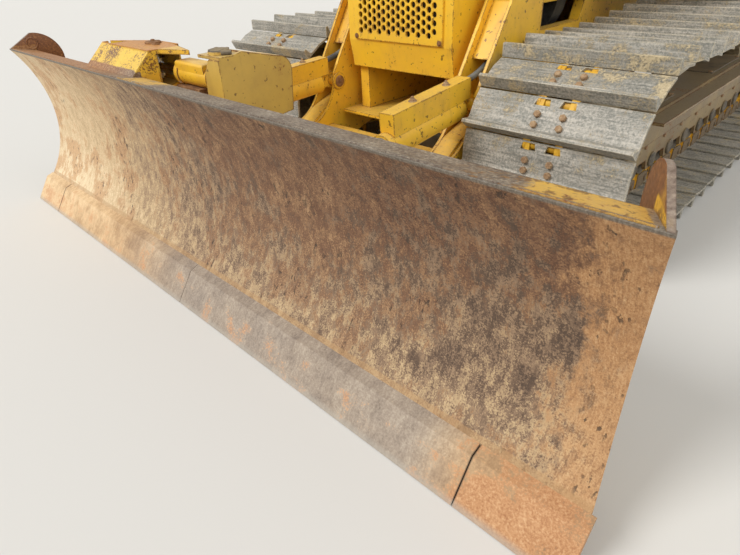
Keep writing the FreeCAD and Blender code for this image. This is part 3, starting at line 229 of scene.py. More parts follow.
def finish(name, recipe, bump=0.0, soft=0.0, **fixed):
    """A material whose colour, roughness and relief come from recipe, and its other sockets from fixed."""
    material = bpy.data.materials.new(name)
    material.use_nodes = True
    tree = material.node_tree
    shader = tree.nodes["Principled BSDF"]
    for socket, value in fixed.items():
        shader.inputs[socket.replace("_", " ")].default_value = value
    place = Field(tree, tree.nodes.new("ShaderNodeTexCoord").outputs["Object"])
    made = recipe(place)
    relief = made.pop("relief", None)
    for socket, value in made.items():
        if isinstance(value, Field):
            tree.links.new(value.socket, shader.inputs[socket])
        else:
            shader.inputs[socket].default_value = value
    if relief is not None:
        inputs = {"Height": relief, "Distance": bump, "Strength": 1.0}
        if soft:
            inputs["Normal"] = place.node("Bevel", {"samples": 4}, {"Radius": soft})
        tree.links.new(place.node("Bump", {}, inputs).socket, shader.inputs["Normal"])
    return material


def paint(fresh, faded, dusty, wear=1.0, dust=0.5):
    """Old machine paint: faded in patches, chipped to rust on its edges, dusty on top."""
    def recipe(place):
        broad = place.grain(1.7, 3)
        middle = place.grain(9, 4, 0.6)
        fine = place.grain(60, 5, 0.7)
        runs = place.grain(1, 4, 0.6, (34, 34, 3))
        edges = place.corners(0.014)
        tone = (broad * 0.7 + middle * 0.5).between(0.42, 0.78).tint(fresh, faded)
        grime = (runs.swing(0.9) + middle * 0.6).between(0.32, 0.75) * 0.4
        tone = grime.tint(tone, "8A6A34")
        specks = (place.grain(38, 2, 0.5) * 0.8 + fine * 0.25 + (wear - 1) * 0.03).between(0.66, 0.70) * 0.75
        tone = specks.tint(tone, "5A3D22")
        settled = (place.facing_up() * 0.6 + fine.swing(0.8) + broad * 0.25).between(0.35, 0.95) * dust
        tone = settled.tint(tone, dusty)
        worn = middle * 0.34 + fine * 0.42 + broad * 0.2 + edges * (0.10 * wear) + (wear - 1) * 0.05
        halo = worn.between(0.575, 0.62)
        bare = worn.between(0.60, 0.635)
        tone = (halo * 0.8).tint(tone, "A2672C")
        tone = bare.tint(tone, fine.shades((0.3, "3F2A1B"), (0.55, "6B4226"), (0.75, "8A5A34")))
        return {"Base Color": tone, "Roughness": bare * 0.35 + settled * 0.3 + 0.38 + fine.swing(0.2),
                "relief": fine * 0.15 - bare * 0.6 + middle * 0.2}
    return recipe


def scoured_blade(place):
    """Curved face: scoured steel, pale to the right partly as painted sunlight, with peeled rust patches and
    fine upright streaks.
    """
    x, z = place.axis("X"), place.axis("Z")
    broad = place.grain(1.1, 3)
    patch = place.grain(4.5, 6, 0.62)
    scab = place.grain(1, 7, 0.72, (16, 10, 10))
    brush = place.grain(1, 5, 0.68, (60, 14, 14))
    streak = place.grain(1, 4, 0.7, (190, 40, 40))
    fleck = place.grain(170, 4, 0.75)
    # Paler towards the machine's right: partly scoured steel, partly painted sunlight.
    pale = 1 - x.between(-1.75, 0.30)
    high = z.between(0.30, 0.85)
    low = 1 - z.between(0.15, 0.5)
    tone = pale * 0.46 + low * 0.12 + broad.swing(0.4) + patch.swing(0.5)
    tone = tone + scab.swing(1.2 - pale * 0.7) + 0.34
    tone = tone + brush.swing(0.3) + streak.swing(0.4) + fleck.swing(0.5)
    crisp = (place.grain(1, 5, 0.7, (26, 15, 15)) * 0.6 + fleck * 0.5).between(0.53, 0.58)
    tone = tone + (crisp - 0.4) * (0.2 - pale * 0.15)
    rust = tone.shades((0.0, "4A3A2D"), (0.2, "5F4A39"), (0.4, "8A7057"), (0.58, "B0956F"), (0.75, "CFB58D"),
                       (0.95, "E6D4B0"))
    red = patch * 0.55 + scab * 0.75 + broad * 0.4 + high * x.between(-0.8, 1.2) * 0.14 + streak.swing(0.3)
    red = red + fleck.swing(0.25) + pale * 0.055
    shade = fleck * 0.5 + tone * 0.26 + pale * 0.14
    worn_red = shade.shades((0.20, "462C1C"), (0.38, "6F4A31"), (0.52, "9B7149"), (0.68, "C69A69"))
    rust = (red.between(0.885, 0.955) * 0.8).tint(rust, worn_red)
    # Lighter band at the blade's left end: partly orange rust, partly painted sunlight.
    rim = (x.between(1.5, 2.1) * 0.9 + scab.swing(1.5) + patch.swing(1.0)).between(0.4, 0.8) * 0.7
    worn_and_sunlit_rim = (fleck * 0.45 + streak * 0.55).shades((0.3, "7E5736"), (0.5, "B98A5A"), (0.75, "DDB98A"))
    rust = rim.tint(rust, worn_and_sunlit_rim)
    pits = place.grain(60, 3, 0.5, (1, 0.5, 0.5)).between(0.60, 0.66) * patch.between(0.5, 0.62)
    rust = (pits * 0.8).tint(rust, "33261B")
    ledge = (1 - z.between(0.165, 0.195) + fleck.swing(0.6)).between(0.4, 0.7) * 0.55
    rust = ledge.tint(rust, "A9855A")
    top = z.between(0.990, 0.998)
    steel = (streak * 0.5 + fleck * 0.5).shades((0.3, "54493D"), (0.5, "7D7468"), (0.7, "A9A194"))
    return {"Base Color": top.tint(rust, steel), "Roughness": 0.80 - tone * 0.2, "Metallic": top * 0.35,
            "relief": streak * 0.4 + fleck * 0.35 + scab * 0.8 - pits * 0.8}


end_bit_inner = 1.685              # the joint between the cutting edge and an end bit, from the middle


def scoured_edge(place):
    """Cutting edge: rubbed smoother and paler than the blade, rustier on the end bits; its paler right is
    partly painted sunlight and its grey middle partly painted shade.
    """
    x, z = place.axis("X"), place.axis("Z")
    broad = place.grain(2.2, 3)
    patch = place.grain(8, 6, 0.65)
    scuff = place.grain(1, 5, 0.65, (60, 22, 22))
    fleck = place.grain(130, 4, 0.7)
    # Paler towards the machine's right: partly rubbed steel, partly painted sunlight.
    pale = 1 - x.between(-1.9, 0.0)
    tone = broad.swing(0.5) + patch.swing(0.8) + scuff.swing(0.4) + fleck.swing(0.4) + pale * 0.24 + 0.40
    steel = tone.shades((0.05, "6F523A"), (0.25, "957656"), (0.45, "B6956E"), (0.65, "D6B88E"),
                        (0.9, "EDD7AE"))
    # Grey across the middle: partly rubbed steel, partly the cool grey of painted shade.
    grey = x.between(-0.9, 0.1) * (1 - x.between(1.45, 1.75)) * 0.75
    rubbed = fleck * 0.4 + scuff * 0.3 + patch * 0.3
    steel = grey.tint(steel, rubbed.shades((0.35, "6C655E"), (0.5, "938B82"), (0.65, "B3ACA1")))
    red = patch * 0.9 + x.between(1.5, 1.8) * 0.22 + pale * 0.07
    red = red + fleck.swing(0.5) + (1 - z.between(0.09, 0.12)) * 0.08
    flaked = fleck.shades((0.3, "96592F"), (0.55, "C08A5C"), (0.78, "D8B48C"))
    steel = (red.between(0.60, 0.68) * 0.7).tint(steel, flaked)
    seam = 1 - (x.size() - end_bit_inner).size().between(0.002, 0.006)
    tone = (seam * 0.85).tint(steel, "3A2E22")
    edge = (1 - z.between(0.006, 0.03)) * 0.6
    return {"Base Color": edge.tint(tone, "A79F93"), "Roughness": 0.70, "Metallic": 0.2,
            "relief": scuff * 0.4 + fleck * 0.5 + patch * 0.6}


plate_lean = 0.5                   # how far an end plate leans in for each metre back
plate_reach = 1.3215               # brings a leaning end plate's |x| to its place at the blade's top corner


def blade_frame_paint(place):
    """Back of the blade: paint, gone to grey steel and rust along the top flange and on the end plates."""
    made = paint("E9B731", "D6A63A", "B79B68", 1.6, 0.6)(place)
    x, y, z = place.axis("X"), place.axis("Y"), place.axis("Z")
    patch = place.grain(7, 5, 0.62)
    fleck = place.grain(90, 5, 0.7)
    flange = (1 - y.between(-2.515, -2.500)) * z.between(0.955, 0.985) * (1 - z.between(1.005, 1.03))
    kept = x.between(1.60, 1.74) * 0.8 + x.between(-0.46, -0.40) * (1 - x.between(-0.22, 0.06)) * 0.6
    bare = (flange + patch.swing(0.9) + fleck.swing(0.6) - kept).between(0.35, 0.6)
    bracket = x.between(-1.0, -0.99) * (1 - x.between(-0.43, -0.42)) * z.between(0.985, 1.0)
    upper = bracket * z.between(1.088, 1.095)
    chips = (patch * 0.5 + fleck * 0.6).between(0.57, 0.60) * bracket
    speckle = patch * 0.35 + fleck * 0.75
    steel = speckle.shades((0.36, "3D322A"), (0.5, "66574A"), (0.6, "857868"), (0.72, "AFA491"))
    rusty_part = 1 - x.between(-0.9, -0.2)
    steel = (rusty_part * 0.7).tint(steel, fleck.shades((0.3, "7A4A26"), (0.55, "AD7438"), (0.75, "CE9C5A")))
    # The tilt bracket's lighter, lemon yellow is painted sunlight.
    tone = (bracket * 0.7).tint(made["Base Color"], patch.shades((0.35, "E9C544"), (0.65, "D9AE3A")))
    tone = chips.tint(tone, fleck.shades((0.35, "4A3524"), (0.6, "7C5230"), (0.75, "A67A48")))
    upper = (upper + patch.swing(1.3) * upper).between(0.5, 0.9) * 0.9
    tone = upper.tint(tone, fleck.shades((0.3, "8A5426"), (0.55, "BE7F36"), (0.8, "DBA85C")))
    tone = bare.tint(tone, steel)
    spots = (place.grain(26, 4, 0.6) * 0.7 + fleck * 0.35).between(0.555, 0.59)
    spots = spots * flange * x.between(1.4, 1.6) * 0.85
    tone = spots.tint(tone, fleck.shades((0.3, "46331F"), (0.55, "7A5730"), (0.75, "9C7840")))
    out = (x.size() + y * plate_lean + plate_reach).between(1.998, 2.006)
    plate = out * z.between(0.86, 0.94) * (1 - flange * 0.9) * (1 - x.between(-0.5, 0.5) * 0.2)
    plate = (plate * 0.95 + patch.swing(1.1)).between(0.35, 0.7)
    tone = plate.tint(tone, fleck.shades((0.3, "553120"), (0.55, "84542F"), (0.75, "B58650")))
    facing = place.normal()
    flat_on = facing.axis("X").size() * 0.894 + facing.axis("Y") * 0.447
    rim = (1 - flat_on.between(0.15, 0.45)) * out * z.between(0.96, 1.0)
    worn = (fleck * 0.6 + patch * 0.4).shades((0.35, "5C4C3F"), (0.5, "85776A"), (0.65, "A89C8C"))
    made["Base Color"] = (rim * 0.9).tint(tone, worn)
    made["Roughness"] = made["Roughness"] + bare * 0.15
    return made


def track_shoe_steel(place):
    """Shoes: blue-grey worn steel scratched across, with patches of dried tan soil."""
    broad = place.grain(2.5, 3)
    patch = place.grain(9, 6, 0.68)
    drag = place.grain(1, 6, 0.72, (5, 90, 90))
    fleck = place.grain(90, 4, 0.75)
    edges = place.corners(0.012)
    tone = drag.swing(0.7) + patch.swing(0.5) + fleck.swing(0.9) + 0.46
    steel = tone.shades((0.1, "525451"), (0.38, "848279"), (0.55, "B1ABA0"), (0.85, "E0D9C8"))
    soil = (patch * 0.8 + fleck * 0.5 + broad.swing(0.5)).between(0.68, 0.80)
    tone = (soil * 0.85).tint(steel, fleck.shades((0.3, "A18E6A"), (0.6, "C2B08A"), (0.8, "D6C8A6")))
    bright = (edges * 0.8 + drag.swing(0.9) + fleck.swing(0.4)).between(0.35, 0.75) * 0.75
    return {"Base Color": bright.tint(tone, "D2C6A8"), "Roughness": 0.6 + soil * 0.3,
            "Metallic": (1 - soil) * 0.2, "relief": drag * 0.35 + soil * 0.8 + fleck * 0.3}


track_mid_x = 1.113


def chain_steel(place):
    """Chain links: yellow paint left between the shoes, the flanks brown and caked."""
    patch = place.grain(14, 5, 0.6)
    fleck = place.grain(90, 4, 0.7)
    off_middle = (place.axis("X").size() - track_mid_x).size()
    painted = (patch * 0.8 + fleck * 0.3 - off_middle.between(0.098, 0.107) * 0.3).between(0.42, 0.52)
    steel = fleck.shades((0.3, "4C4033"), (0.55, "7A6850"), (0.75, "9C8766"))
    return {"Base Color": painted.tint(steel, patch.shades((0.4, "C58F22"), (0.6, "E0B032"))),
            "Roughness": 0.75 - painted * 0.2, "relief": patch * 0.6 + fleck * 0.4}


def dark_iron(pale, dark, soil):
    """Cast and rolled iron under grease and dust."""
    def recipe(place):
        patch = place.grain(9, 5, 0.62)
        fleck = place.grain(80, 4, 0.7)
        edges = place.corners(0.010)
        tone = (patch * 0.6 + fleck * 0.45).between(0.35, 0.7).tint(dark, pale)
        dusted = (place.facing_up() * 0.45 + patch * 0.8).between(0.5, 0.95) * 0.7
        tone = dusted.tint(tone, soil)
        rub = (edges * 0.7 + fleck.swing(0.7)).between(0.3, 0.7) * 0.5
        return {"Base Color": rub.tint(tone, "9A8F7E"), "Roughness": 0.62 + dusted * 0.3 - rub * 0.2,
                "relief": patch * 0.5 + fleck * 0.5}
    return recipe


def rusty(deep, mid, pale):
    """Bare bolts and pins, brown with rust under dust."""
    def recipe(place):
        patch = place.grain(35, 4, 0.6)
        fleck = place.grain(200, 4, 0.7)
        tone = (patch * 0.6 + fleck * 0.45).shades((0.3, deep), (0.52, mid), (0.75, pale))
        return {"Base Color": tone, "Roughness": 0.85, "relief": fleck}
    return recipe


def chrome(place):
    """Polished rods, slightly smeared."""
    smear = place.grain(1, 3, 0.6, (12, 12, 12))
    fine = place.grain(160, 3, 0.6)
    return {"Base Color": smear.shades((0.4, "B9B9B6"), (0.6, "D8D8D5")), "Roughness": 0.16 + smear * 0.16,
            "relief": fine}


def plastic(base, dusty):
    """Moulded plastic, dusty on top."""
    def recipe(place):
        soft = place.grain(5, 3)
        fine = place.grain(420, 2)
        dust = (place.facing_up() * 0.5 + soft * 0.8).between(0.55, 1.1) * 0.55
        tone = soft.between(0.3, 0.7).tint(base, dusty)
        return {"Base Color": dust.tint(tone, "A79F8C"), "Roughness": 0.55 + dust * 0.3,
                "relief": fine}
    return recipe


def seat_cloth(place):
    """Woven cover, rubbed paler in patches."""
    warp = place.bands("X", 180.0)
    weft = place.bands("Z", 180.0)
    weave = warp * weft
    worn = place.grain(7, 4)
    tone = worn.between(0.3, 0.72).tint("45433F", "66625A")
    return {"Base Color": (weave * 0.3).tint(tone, "7A766C"), "Roughness": 0.88,
            "relief": weave + worn * 0.4}


def rubber(place):
    """Dusty hose and seal rubber."""
    ribs = place.grain(240, 2)
    smear = place.grain(9, 4, 0.6)
    tone = smear.between(0.35, 0.7).tint("4A4C4E", "85867F")
    return {"Base Color": tone, "Roughness": 0.6 + smear * 0.25, "relief": ribs}


def cooler_fins(place):
    """Rows of dark fins under patches of dust; the near black between the fins is painted shade."""
    fins = place.bands("X", 60.0)
    rows = place.bands("Z", 14.0)
    dust = place.grain(6, 4, 0.6)
    # Near black between the fins: painted shade in the gaps of the core.
    tone = (fins * rows).tint("15130F", "4A4234")
    return {"Base Color": (dust.between(0.45, 0.8) * 0.5).tint(tone, "6E5E42"), "Roughness": 0.8,
            "relief": fins}


def glass(name, tone, clear):
    """Window glass: mostly clear under patches of dust, with a gloss that grows towards a glancing view."""
    material = bpy.data.materials.new(name)
    material.use_nodes = True
    tree = material.node_tree
    tree.nodes.remove(tree.nodes["Principled BSDF"])
    place = Field(tree, tree.nodes.new("ShaderNodeTexCoord").outputs["Object"])
    film = place.grain(5, 4, 0.6)
    through = place.node("BsdfTransparent", {}, {"Color": tone})
    gloss = place.node("BsdfGlossy", {}, {"Color": (1, 1, 1, 1), "Roughness": 0.03})
    haze = place.node("BsdfDiffuse", {}, {"Color": "9A9384"})
    glance = place.node("Fresnel", {}, {"IOR": 1.5})
    clean = place.node("MixShader", {}, {0: glance, 1: through, 2: gloss})
    both = place.node("MixShader", {}, {0: film.between(0.4, 1.0) * (1 - clear), 1: clean, 2: haze})
    tree.links.new(both.socket, tree.nodes["Material Output"].inputs["Surface"])
    return material


def lamp_lens(place):
    flutes = place.bands("X", 40.0)
    dust = place.grain(20, 3)
    return {"Base Color": dust.shades((0.35, "DADAD4"), (0.7, "B9B5A8")), "Roughness": 0.12 + dust * 0.15,
            "relief": flutes}


def tail_lens(place):
    dust = place.grain(20, 3)
    return {"Base Color": dust.shades((0.35, "9E1512"), (0.7, "7C2A20")), "Roughness": 0.2 + dust * 0.2}


machine_yellow = finish("machine_yellow", paint("F6C630", "EAB93A", "CFB878", 1.1, 0.4), 0.0012, 0.004)
frame_yellow = finish("frame_yellow", paint("EFBE32", "DBA93B", "B99F66", 1.5, 0.55), 0.0014, 0.004)
tower_yellow = finish("tower_yellow", paint("D0AC50", "BC9A4C", "BBA77C", 1.35, 0.5), 0.0012, 0.004)
dusty_yellow = finish("dusty_yellow", paint("9C8457", "806F54", "8F826B", 1.5, 1.0), 0.0018, 0.004)
blade_yellow = finish("blade_yellow", blade_frame_paint, 0.0016, 0.004)
blade_steel = finish("blade_steel", scoured_blade, 0.0022)
edge_steel = finish("edge_steel", scoured_edge, 0.0018)
shoe_steel = finish("shoe_steel", track_shoe_steel, 0.003)
link_steel = finish("link_steel", chain_steel, 0.002)
roller_iron = finish("roller_iron", dark_iron("756A58", "3A352E", "917F60"), 0.002)
wheel_iron = finish("wheel_iron", dark_iron("9A8B6C", "6A5C45", "AE9A72"), 0.003)
engine_iron = finish("engine_iron", dark_iron("55544F", "262626", "6F6754"), 0.0015)
rusty_iron = finish("rusty_iron", rusty("48331F", "835C3A", "B58E61"), 0.0012)
dusty_iron = finish("dusty_iron", rusty("6B5039", "9A7B5B", "C6B08C"), 0.0012)
rod_chrome = finish("rod_chrome", chrome, 0.0001, Metallic=1.0)
black_plastic = finish("black_plastic", plastic("222325", "34353A"), 0.0002)
grey_plastic = finish("grey_plastic", plastic("77766F", "8A877C"), 0.0002)
seat_fabric = finish("seat_fabric", seat_cloth, 0.0008)
hose_rubber = finish("hose_rubber", rubber, 0.0004)
fins = finish("fins", cooler_fins, 0.003)
clear_glass = glass("clear_glass", "E9EFEC", 0.86)
head_lens = finish("head_lens", lamp_lens, 0.0008)
red_lens = finish("red_lens", tail_lens)

coats = [
    # finish, nodes
    (machine_yellow, ["radiator_guard", "hood", "engine_door_left", "engine_door_right", "cab_shell",
                      "cab_roof", "cab_door_left", "cab_door_right", "fenders", "fuel_tank",
                      "front_grille", "air_precleaner"]),
    (frame_yellow, ["c_frame", "angle_barrel_left", "angle_barrel_right", "lift_barrel_left",
                    "lift_barrel_right", "tilt_barrel", "main_frame", "rear_case"]),
    (dusty_yellow, ["track_frames"]),
    (tower_yellow, ["blade_carrier"]),
    (blade_yellow, ["blade_back"]),
    (blade_steel, ["moldboard"]),
    (edge_steel, ["cutting_edge", "end_bits"]),
    (wheel_iron, ["idlers", "sprockets"]),
    (roller_iron, ["track_rollers", "drawbar", "pivot_shaft"]),
    (engine_iron, ["engine_block", "exhaust_stack"]),
    (rod_chrome, ["lift_rod_left", "lift_rod_right", "angle_rod_left", "angle_rod_right", "tilt_rod"]),
    (black_plastic, ["cab_floor", "dashboard"]),
    (grey_plastic, ["consoles"]),
    (seat_fabric, ["seat"]),
    (fins, ["radiator_core"]),
]
for material, names in coats:
    for name in names:
        nodes[name].data.materials.clear()
        nodes[name].data.materials.append(material)
for hose in hoses:
    hose.data.materials.append(hose_rubber)


# Shaping of pieces
hexagon = 0.577                    # from a bolt head's width to its corners' radius


class Work:
    """The mesh of one piece while it is made. Outlines take y measured from the cutting edge."""

    def __init__(self):
        self.bm = bmesh.new()

    def prism(self, points, depth):
        low = [self.bm.verts.new(p) for p in points]
        high = [self.bm.verts.new(p + depth) for p in points]
        self.bm.faces.new(low)
        self.bm.faces.new(high)
        for i in range(len(points)):
            j = (i + 1) % len(points)
            self.bm.faces.new((low[i], low[j], high[j], high[i]))

    def side(self, outline, x0, x1):
        self.prism([at(x0, y, z) for y, z in outline], Vector((x1 - x0, 0, 0)))

    def plan(self, outline, z0, z1):
        self.prism([at(x, y, z0) for x, y in outline], Vector((0, 0, z1 - z0)))

    def front(self, outline, y0, y1):
        self.prism([at(x, y0, z) for x, z in outline], Vector((0, y1 - y0, 0)))

    def turned(self, start, axis, steps, sides=20, hollow=False):
        """A turned piece of steps (distance along the axis, radius). If hollow, the last joins the first."""
        axis = axis.normalized()
        out = axis.orthogonal().normalized()
        rings = []
        for along, radius in steps:
            ring = []
            for k in range(sides):
                turn = Matrix.Rotation(2 * math.pi * (k + 0.5) / sides, 3, axis)
                ring.append(self.bm.verts.new(start + axis * along + turn @ out * radius))
            rings.append(ring)
        if hollow:
            rings.append(rings[0])
        else:
            self.bm.faces.new(rings[0])
            self.bm.faces.new(rings[-1])
        for a, b in zip(rings, rings[1:]):
            for i in range(sides):
                j = (i + 1) % sides
                self.bm.faces.new((a[i], a[j], b[j], b[i]))

    def band(self, start, axis, inner, outer, width):
        """A flat band round a tube."""
        self.turned(start, axis, [(0, inner), (0, outer), (width, outer), (width, inner)], 36, True)

    def rod(self, start, end, radius, sides=16):
        length = (end - start).length
        chamfer = min(radius, length) * 0.12
        steps = [(0, radius - chamfer), (chamfer, radius), (length - chamfer, radius),
                 (length, radius - chamfer)]
        self.turned(start, end - start, steps, sides)

    def bolt(self, place, out, flats=0.030, washer=True):
        """Hexagon head standing out of a surface at place."""
        out = out.normalized()
        if washer:
            self.turned(place - out * 0.004, out, [(0, flats * 0.82), (0.008, flats * 0.82)], 16)
        radius = flats * hexagon
        head = [(0, radius), (flats * 0.62, radius), (flats * 0.72, radius * 0.82)]
        self.turned(place - out * 0.004, out, head, 6)

    def pipe(self, points, radius, sides=12):
        """A round bar through points."""
        rings = []
        normal = None
        for i, point in enumerate(points):
            before = points[max(i - 1, 0)]
            after = points[min(i + 1, len(points) - 1)]
            way = (after - before).normalized()
            if normal is None:
                normal = way.orthogonal().normalized()
            normal = (normal - way * normal.dot(way)).normalized()
            ring = []
            for k in range(sides):
                turn = Matrix.Rotation(2 * math.pi * k / sides, 3, way)
                ring.append(self.bm.verts.new(point + turn @ normal * radius))
            rings.append(ring)
        self.bm.faces.new(rings[0])
        self.bm.faces.new(rings[-1])
        for a, b in zip(rings, rings[1:]):
            for k in range(sides):
                j = (k + 1) % sides
                self.bm.faces.new((a[k], a[j], b[j], b[k]))

    def bar(self, side, places, reach, radius, sides=12):
        """A pipe through places (x, y, z) of one side, its corners rounded from reach before them."""
        self.pipe(bend([at(side * x, y, z) for x, y, z in places], reach), radius, sides)

    def box(self, low, high):
        """A plate between two corners."""
        self.plan(oblong(*low[:2], *high[:2]), low[2], high[2])

    def bolts(self, xs, y, zs, out, flats):
        """Bolts on an upright face, at every crossing of xs and zs."""
        for x in xs:
            for z in zs:
                self.bolt(at(x, y, z), out, flats)

    def done(self, name, body, material, slot, rounding=0.0, crease=35):
        """Makes the object, rides it on its body and gives it its finish."""
        bmesh.ops.recalc_face_normals(self.bm, faces=self.bm.faces)
        mesh = bpy.data.meshes.new(name)
        self.bm.to_mesh(mesh)
        self.bm.free()
        mesh.polygons.foreach_set("use_smooth", [True] * len(mesh.polygons))
        mesh.set_sharp_from_angle(angle=math.radians(crease))
        mesh.materials.append(material)
        piece = add_object(name, mesh)
        if rounding:
            round_off = piece.modifiers.new("round_off", "BEVEL")
            round_off.width = rounding
            round_off.segments = 2
            round_off.limit_method = "ANGLE"
            round_off.angle_limit = math.radians(crease)
            round_off.harden_normals = True
        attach(piece, body)
        return piece


def bend(points, reach=0.05, steps=4):
    """The points of a bent bar: each corner given becomes an arc that starts reach before it."""
    points = [Vector(p) for p in points]
    made = [points[0]]
    for before, corner, after in zip(points, points[1:], points[2:]):
        start = corner + (before - corner).normalized() * min(reach, (before - corner).length * 0.45)
        end = corner + (after - corner).normalized() * min(reach, (after - corner).length * 0.45)
        for k in range(steps + 1):
            t = k / steps
            made.append(start.lerp(corner, t).lerp(corner.lerp(end, t), t))
    made.append(points[-1])
    return made


# Tracks: shoes with grousers, relief holes and bolts over a chain of links
shoe_half = 0.43
shoe_count = 43
shoe_lift = 0.070
idler_y, idler_tip = 1.873, 0.528
sprocket_y, sprocket_tip = 4.975, 0.560
carrier_y = (3.290, 4.150)
top_sag = (0.042, 0.010, 0.006)


def top_height(y):
    """Height of the shoes' inner face along the top run."""
    stops = [idler_y, *carrier_y, sprocket_y]
    rise = 2 * (sprocket_tip - idler_tip) / (sprocket_y - idler_y)
    for start, end, sag in zip(stops, stops[1:], top_sag):
        if y <= end:
            share = (y - start) / (end - start)
            return 2 * idler_tip + rise * (y - idler_y) - shoe_lift - 4 * sag * share * (1 - share)
    return 2 * sprocket_tip - shoe_lift


def chain_joints():
    """Places (y, z) of the joints, evenly round the loop from under the idler forward."""
    steps = 48
    path = []
    for k in range(steps + 1):
        a = -math.pi / 2 - math.pi * k / steps
        reach = idler_tip - shoe_lift
        path.append((idler_y + reach * math.cos(a), idler_tip + reach * math.sin(a)))
    for k in range(1, 4 * steps):
        y = idler_y + (sprocket_y - idler_y) * k / (4 * steps)
        path.append((y, top_height(y)))
    for k in range(steps + 1):
        a = math.pi / 2 - math.pi * k / steps
        reach = sprocket_tip - shoe_lift
        path.append((sprocket_y + reach * math.cos(a), sprocket_tip + reach * math.sin(a)))
    path.append(path[0])
    lengths = [0.0]
    for a, b in zip(path, path[1:]):
        lengths.append(lengths[-1] + math.dist(a, b))
    places = []
    k = 0
    for n in range(shoe_count):
        want = lengths[-1] * n / shoe_count
        while lengths[k + 1] < want:
            k += 1
        share = (want - lengths[k]) / (lengths[k + 1] - lengths[k])
        places.append(tuple(a + share * (b - a) for a, b in zip(path[k], path[k + 1])))
    return places


joints = chain_joints()
hole_x = (-0.066, 0.062)           # middles of the relief holes and bolt columns, from the track's middle
shoe_rows = [
    # share of the pitch, outer face, inner face, half width of a relief hole
    (0.020, 0.015, 0.000, 0.034),
    (0.050, 0.069, 0.000, 0.034),
    (0.130, 0.070, 0.000, 0.034),
    (0.220, 0.020, 0.000, 0.034),
    (0.270, 0.015, 0.000, 0.034),
    (0.640, 0.016, 0.000, 0.034),
    (0.690, 0.014, -0.001, 0.034),
    (0.790, 0.009, -0.006, 0.040),
    (0.950, 0.003, -0.012, 0.031),
    (0.990, 0.001, -0.014, 0.031),
]
grouser_from = 0.05                # an outer face above this is the grouser's, which wears
hole_row = 7
bolt_shares = (0.34, 0.58)


class Shoe:
    """Places on shoe k of the track on one side."""

    def __init__(self, side, k):
        a, b = joints[k], joints[(k + 1) % shoe_count]
        self.side = side
        self.pitch = math.dist(a, b)
        self.start = at(side * track_mid_x, *a)
        self.way = (at(0, *b) - at(0, *a)).normalized()
        self.out = Vector((0, -self.way.z, self.way.y))

    def spot(self, x, share, height):
        return self.start + left * self.side * x + self.way * (share * self.pitch) + self.out * height


def add_shoe(work, shoe):
    """A shoe with its grouser and a pair of relief holes, each grouser worn a little differently."""
    worn = 0.004 * chance.random()
    columns = []
    for share, outer, inner, half in shoe_rows:
        xs = [-shoe_half, hole_x[0] - half, hole_x[0] + half, hole_x[1] - half, hole_x[1] + half, shoe_half]
        heights = (outer - worn if outer > grouser_from else outer, inner)
        columns.append([[work.bm.verts.new(shoe.spot(x, share, height)) for height in heights] for x in xs])
    last = len(columns) - 1
    for r in range(last):
        here, there = columns[r], columns[r + 1]
        for c in range(5):
            a, b, d, e = here[c], here[c + 1], there[c + 1], there[c]
            if r == hole_row and c in (1, 3):
                for p, q in ((a, b), (b, d), (d, e), (e, a)):
                    work.bm.faces.new((p[0], q[0], q[1], p[1]))
                continue
            work.bm.faces.new((a[0], b[0], d[0], e[0]))
            work.bm.faces.new((a[1], b[1], d[1], e[1]))
        for c in (0, 5):
            work.bm.faces.new((here[c][0], there[c][0], there[c][1], here[c][1]))
    for r in (0, last):
        for c in range(5):
            a, b = columns[r][c], columns[r][c + 1]
            work.bm.faces.new((a[0], b[0], b[1], a[1]))


pin_depth = 0.046                  # of the chain's pins, under the shoes' inner face
link_foot = 0.094                  # depth of a link's running edge
link_end = 0.044                   # radius of a link's round ends


def round_end(centre, begin, steps=6):
    """Points of a link's rounded end, as (metres along the chain, height)."""
    turns = [begin + math.pi * k / steps for k in range(steps + 1)]
    return [(centre + link_end * math.cos(a), -pin_depth + link_end * math.sin(a)) for a in turns]


def add_link(work, shoe):
    """Two cranked link plates with their pin and bushing."""
    pitch = shoe.pitch
    outline = round_end(0.0, math.pi / 2)
    outline += [(0.04, -link_foot), (pitch - 0.04, -link_foot)]
    outline += round_end(pitch, -math.pi / 2)
    outline += [(pitch - 0.05, -0.001), (0.05, -0.001)]
    middle = pitch / 2
    for sign in (-1, 1):
        for inner, outer, low, high in ((0.086, 0.108, -1, middle + 0.02), (0.064, 0.088, middle - 0.02, 9)):
            points = [(min(max(s, low), high), h) for s, h in outline]
            clean = [p for p, q in zip(points, points[1:] + points[:1]) if math.dist(p, q) > 1e-6]
            x0, x1 = sign * inner, sign * outer
            work.prism([shoe.spot(x0, s / pitch, h) for s, h in clean], Vector((shoe.side * (x1 - x0), 0, 0)))
    for reach, radius, facets in ((0.116, 0.021, 10), (0.066, 0.032, 12)):
        work.rod(shoe.spot(-reach, 0, -pin_depth), shoe.spot(reach, 0, -pin_depth), radius, facets)


for side, name in sides:
    plates, links, bolts = Work(), Work(), Work()
    for k in range(shoe_count):
        shoe = Shoe(side, k)
        add_shoe(plates, shoe)
        add_link(links, shoe)
        for x in hole_x:
            for share in bolt_shares:
                bolts.bolt(shoe.spot(x, share, 0.015), shoe.out, 0.030, False)
    shoes = plates.done("shoes_" + name, "machine", shoe_steel, "track_steel", 0.002)
    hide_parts("track_" + name)
    links.done("chain_" + name, "machine", link_steel, "track_steel", 0.0015)
    bolts.done("shoe_bolts_" + name, "machine", dusty_iron, "track_steel")

# Running gear: hub covers, axle ends and their bolts, on both sides of each track
frame_x = 0.140                    # outer face of the roller guards, from the track's middle
roller_spots = [(2.340 + 0.305 * k, 0.2703) for k in range(8)]


def ring_of_bolts(work, middle, out, radius, count, flats, turn=0.0):
    """Bolt heads evenly round a circle."""
    across = out.orthogonal().normalized()
    for k in range(count):
        spin = Matrix.Rotation(turn + 2 * math.pi * k / count, 3, out)
        work.bolt(middle + spin @ across * radius, out, flats, False)


